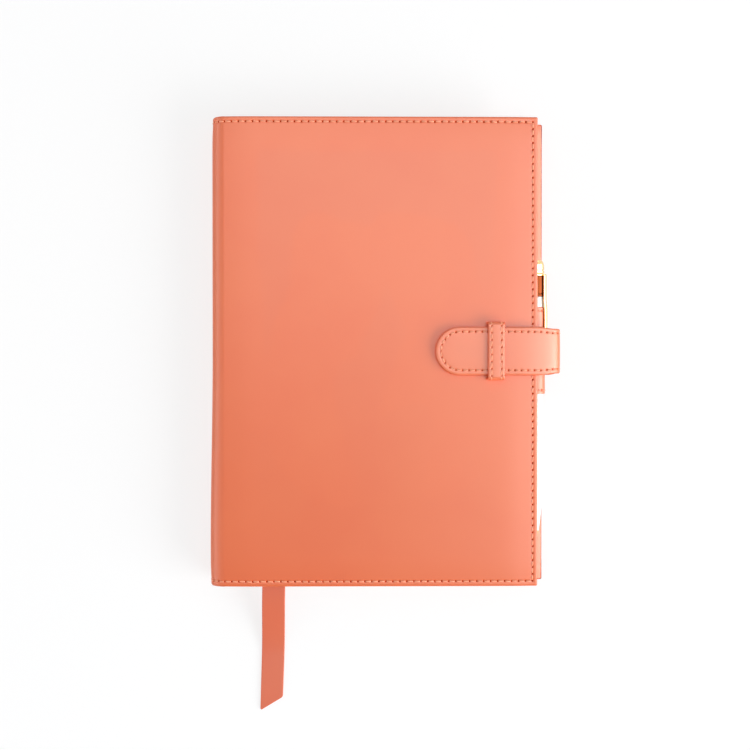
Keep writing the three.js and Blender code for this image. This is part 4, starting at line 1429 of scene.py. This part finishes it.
def metal_finish(name, colour, roughness):
    """Polished plate: fine lines round the pen and slow changes of gloss."""
    material, nodes = new_finish(name, colour, roughness, Metallic=1.0)
    place = nodes.place()
    stretch = nodes.add("Mapping", {"Vector": place, "Scale": (1, 30, 1)}).outputs["Vector"]
    lines = nodes.noise(stretch, 700, 3.0)
    slow = nodes.spread(nodes.noise(place, 300, 2.0), 0.3, 0.7, 0, 1)
    nodes.fill(nodes.last, {
        "Base Color": nodes.tint(slow, scaled(colour, 0.96), colour),
        "Roughness": nodes.spread(lines, 0.3, 0.7, roughness * 0.75, roughness * 1.3),
        "Normal": nodes.bump(lines, 0.03, 0.00002)})
    return material


def lacquer_finish(colour):
    """White lacquer with a clear coat: a very slight orange peel under the gloss."""
    material, nodes = new_finish("white_lacquer", colour, 0.28, Coat_Weight=0.6, Coat_Roughness=0.05)
    peel = nodes.noise(nodes.place(), 500, 2.0)
    nodes.fill(nodes.last, {
        "Base Color": nodes.tint(peel, scaled(colour, 0.97), colour),
        "Normal": nodes.bump(peel, 0.05, 0.00004)})
    return material


FINISH = {}


def finishes():
    """The finishes by name, made once."""
    if FINISH:
        return FINISH
    c = bpy.context.scene.journal_colours
    FINISH["leather"] = leather_finish("coral_leather", tuple(c.leather), 0.37, 1500)
    # painted light: a lighter copy of the cover leather for the strap, keeper, pen loop and pocket flaps
    FINISH["strap"] = leather_finish("coral_strap_leather", tuple(c.strap), 0.38, 1500)
    FINISH["bookmark"] = leather_finish("bookmark_leather", tuple(c.bookmark), 0.5, 1800)
    FINISH["lining"] = leather_finish("lining_leather", tuple(c.lining), 0.6, 2400, 0.05)
    FINISH["thread"] = thread_finish(tuple(c.thread))
    FINISH["paper"] = paper_finish(tuple(c.paper))
    FINISH["board"] = board_finish("grey_board", (0.46, 0.36, 0.25))
    FINISH["card"] = board_finish("refill_card", (0.72, 0.62, 0.46))
    FINISH["gold"] = metal_finish("gold_plate", tuple(c.gold), 0.16)
    # painted reflection: the band's gold is made nearly black-brown to stand for the dark surroundings it
    # reflects
    FINISH["band"] = metal_finish("painted_dark_gold", (0.085, 0.020, 0.006), 0.30)
    FINISH["brass"] = metal_finish("plain_brass", (0.78, 0.56, 0.24), 0.28)
    FINISH["lacquer"] = lacquer_finish(tuple(c.lacquer))
    return FINISH


# Operators

class JOURNAL_OT_covers(bpy.types.Operator):
    """Build the front and back cover leather with their seams"""

    bl_idname = "journal.covers"
    bl_label = "Covers"

    def execute(self, context):
        sizes = context.scene.journal_sizes
        kit = finishes()
        pitch = sizes.seam_pitch / MM
        for side, x1, z, up in (("front", FRONT_X, CLOSED, 1), ("back", BACK_X, 0.0, -1)):
            cover = Cover(x1, z, up, sizes.padding / MM, pitch)
            part, shade = cover.part()
            piece(f"{side}_cover_leather", [part], kit["leather"], f"{side}_cover",
                  [f"{side}_leather"], shade=shade, merge=False, recalc=True)
            stitches = cover.stitches(sizes.thread_radius / MM, COVER_RISE if up > 0 else BACK_RISE)
            thread_piece(f"{side}_seam_stitches", [stitches], kit["thread"], f"{side}_cover",
                         [f"{side}_stitching"])
        return {"FINISHED"}


class JOURNAL_OT_spine(bpy.types.Operator):
    """Build the spine leather, its lining and the stitches at its ends"""

    bl_idname = "journal.spine"
    bl_label = "Spine"

    def execute(self, context):
        kit = finishes()
        for upper in (False, True):
            build_spine(upper, context.scene.journal_sizes, kit["leather"], kit["lining"], kit["thread"])
        return {"FINISHED"}


class JOURNAL_OT_inside(bpy.types.Operator):
    """Build the linings and pockets of both covers"""

    bl_idname = "journal.inside"
    bl_label = "Linings and pockets"

    def execute(self, context):
        kit = finishes()
        for side in ("front", "back"):
            # the pocket flaps take the lighter strap leather: painted light
            build_inside(side, kit["strap"], kit["lining"])
        return {"FINISHED"}


class JOURNAL_OT_block(bpy.types.Operator):
    """Build the eight signatures of the refill"""

    bl_idname = "journal.block"
    bl_label = "Book block"

    def execute(self, context):
        kit = finishes()
        for number in range(1, 9):
            build_signature(number, context.scene.journal_sizes, kit["paper"])
        return {"FINISHED"}


class JOURNAL_OT_strap(bpy.types.Operator):
    """Build the strap with its backing and stitches"""

    bl_idname = "journal.strap"
    bl_label = "Strap"

    def execute(self, context):
        kit = finishes()
        build_strap(context.scene.journal_sizes, kit["strap"], kit["lining"], kit["thread"])
        return {"FINISHED"}


class JOURNAL_OT_keeper(bpy.types.Operator):
    """Build the keeper loop on the front cover"""

    bl_idname = "journal.keeper"
    bl_label = "Keeper"

    def execute(self, context):
        kit = finishes()
        build_keeper(context.scene.journal_sizes, kit["strap"], kit["thread"])
        return {"FINISHED"}


class JOURNAL_OT_pen(bpy.types.Operator):
    """Build the pen and its loop"""

    bl_idname = "journal.pen"
    bl_label = "Pen and pen loop"

    def execute(self, context):
        kit = finishes()
        build_pen(kit["gold"], kit["band"], kit["lacquer"])
        build_pen_loop(context.scene.journal_sizes, kit["strap"], kit["thread"])
        return {"FINISHED"}


class JOURNAL_OT_bookmark(bpy.types.Operator):
    """Build the leather bookmark"""

    bl_idname = "journal.bookmark"
    bl_label = "Bookmark"

    def execute(self, context):
        build_bookmark(finishes()["bookmark"])
        return {"FINISHED"}


HIDDEN = {
    "front_board": "board", "back_board": "board", "refill_front_card": "card",
    "refill_back_card": "card", "refill_spine_card": "card", "pen_cam": "brass", "pen_ink": "brass",
}


class JOURNAL_OT_hidden(bpy.types.Operator):
    """Give the boards, cards and inner pen pieces that stay from the frame their finish"""

    bl_idname = "journal.hidden"
    bl_label = "Boards, cards and pen works"

    def execute(self, context):
        kit = finishes()
        for name, finish in HIDDEN.items():
            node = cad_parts[name]
            if not node.material_slots:
                node.data.materials.append(kit[finish])
            node.material_slots[0].material = kit[finish]
        return {"FINISHED"}


CAMERA_PLACE = (-0.01216, -0.00658, 0.56)
CAMERA_TURN = (-0.478, -0.716, -0.007)
CAMERA_LENS, CAMERA_SENSOR = 54.214, 36
TABLE_REACH, TABLE_Z = 6.0, -2e-5
# Each lamp's name, its place, the place it shines at and its size in millimetres, and its power in watts.
# A card shows in the gloss only.
LAMPS = (
    ("window", (1400, -760, 720), (0, 0, 0), (1500, 900), 32.8),
    ("left_fill", (-1500, 0, 450), (0, 0, 0), (2000, 900), 7.0),
    ("head_fill", (0, 1500, 330), (0, 0, 0), (2200, 660), 5.0),
    ("right_card", (685, -20, 1800), (685, -20, 0), (570, 1420), 16.2),
    ("far_right_card", (1300, 75, 1200), (1300, 75, 0), (1260, 1100), 28.5),
    ("side_card", (2300, 75, 760), (0, 75, 760), (1500, 1500), 58.0),
    ("head_card", (-110, 550, 1500), (-110, 550, 0), (820, 1100), 11.0),
    ("left_card", (-1500, 0, 1200), (0, 0, 1200), (2200, 2400), 30.0),
)


def put(name, data):
    """A new object in the scene."""
    obj = bpy.data.objects.new(name, data)
    bpy.context.scene.collection.objects.link(obj)
    return obj


def area_light(name, place, target, size, power):
    """A rectangular lamp turned to its target."""
    light = bpy.data.lights.new(name, "AREA")
    light.shape = "RECTANGLE"
    light.size, light.size_y = size[0] * MM, size[1] * MM
    light.energy = power
    obj = put(name, light)
    obj.visible_diffuse = not name.endswith("card")
    obj.location = Vector(place) * MM
    direction = (Vector(target) - Vector(place)).normalized()
    obj.rotation_euler = direction.to_track_quat("-Z", "Y").to_euler()


def put_camera():
    """The camera above the journal, tilted as in the photograph."""
    camera = bpy.data.cameras.new("camera")
    camera.lens = CAMERA_LENS
    camera.sensor_width = CAMERA_SENSOR
    camera.clip_start = 0.01
    view = put("camera", camera)
    view.location = CAMERA_PLACE
    view.rotation_euler = Euler(tuple(map(math.radians, CAMERA_TURN)), "XYZ")
    bpy.context.scene.camera = view


def put_table():
    """The table: it glows white where it is seen, and throws back the lamps' light for the rest."""
    mesh = bpy.data.meshes.new("table")
    corners = [(x * TABLE_REACH, y * TABLE_REACH, TABLE_Z) for x, y in ((-1, -1), (1, -1), (1, 1), (-1, 1))]
    mesh.from_pydata(corners, [], [(0, 1, 2, 3)])
    table = put("table", mesh)
    material = bpy.data.materials.new("white_table")
    nodes = Nodes(material, "Principled BSDF")
    seen = nodes.seen()
    nodes.fill(nodes.last, {
        "Roughness": 0.9, "Specular IOR Level": 0.0, "Emission Color": (1, 1, 1),
        "Base Color": nodes.tint(seen, (0.86, 0.855, 0.85), (0.270, 0.273, 0.276)),
        "Emission Strength": nodes.spread(seen, 0, 1, 0, 0.76)})
    mesh.materials.append(material)


def put_world():
    """The world: white where it is seen, and a dimmer even light for the rest."""
    world = bpy.data.worlds.new("studio")
    bpy.context.scene.world = world
    nodes = Nodes(world, "World Output")
    sky = nodes.fill(nodes.tree.nodes["Background"], {"Color": (1, 1, 1), "Strength": 0.42})
    plain = nodes.add("Background", {"Color": (1, 1, 1)})
    mix = nodes.add("MixShader", {0: nodes.seen(), 1: sky.outputs[0], 2: plain.outputs[0]})
    nodes.fill(nodes.last, {"Surface": mix.outputs[0]})


class JOURNAL_OT_stage(bpy.types.Operator):
    """Set the camera, the table, the lamps and the world"""

    bl_idname = "journal.stage"
    bl_label = "Stage"

    def execute(self, context):
        put_camera()
        put_table()
        put_world()
        for lamp in LAMPS:
            area_light(*lamp)
        context.scene.view_settings.view_transform = "Standard"
        return {"FINISHED"}


class JOURNAL_PT_panel(bpy.types.Panel):
    """Builders of the journal's pieces and their sizes and colours"""

    bl_idname = "JOURNAL_PT_panel"
    bl_label = "Journal"
    bl_space_type = "VIEW_3D"
    bl_region_type = "UI"
    bl_category = "Journal"

    def draw(self, context):
        layout = self.layout
        for group in (context.scene.journal_sizes, context.scene.journal_colours):
            box = layout.box()
            for key in group.__annotations__:
                box.prop(group, key)
        for builder in BUILDERS:
            layout.operator(builder.bl_idname)


BUILDERS = (
    JOURNAL_OT_covers, JOURNAL_OT_spine, JOURNAL_OT_inside, JOURNAL_OT_block, JOURNAL_OT_strap,
    JOURNAL_OT_keeper, JOURNAL_OT_pen, JOURNAL_OT_bookmark, JOURNAL_OT_hidden, JOURNAL_OT_stage,
)
CLASSES = (JournalSizes, JournalColours) + BUILDERS + (JOURNAL_PT_panel,)


def register():
    """Make the add-on's classes and its settings known."""
    for cls in CLASSES:
        bpy.utils.register_class(cls)
    bpy.types.Scene.journal_sizes = PointerProperty(type=JournalSizes)
    bpy.types.Scene.journal_colours = PointerProperty(type=JournalColours)


def unregister():
    """Take the add-on's settings and classes away again."""
    del bpy.types.Scene.journal_colours
    del bpy.types.Scene.journal_sizes
    for cls in reversed(CLASSES):
        bpy.utils.unregister_class(cls)


def main():
    """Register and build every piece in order."""
    register()
    bpy.ops.journal.covers()
    bpy.ops.journal.spine()
    bpy.ops.journal.inside()
    bpy.ops.journal.block()
    bpy.ops.journal.strap()
    bpy.ops.journal.keeper()
    bpy.ops.journal.pen()
    bpy.ops.journal.bookmark()
    bpy.ops.journal.hidden()
    bpy.ops.journal.stage()


if __name__ == "__main__":
    main()
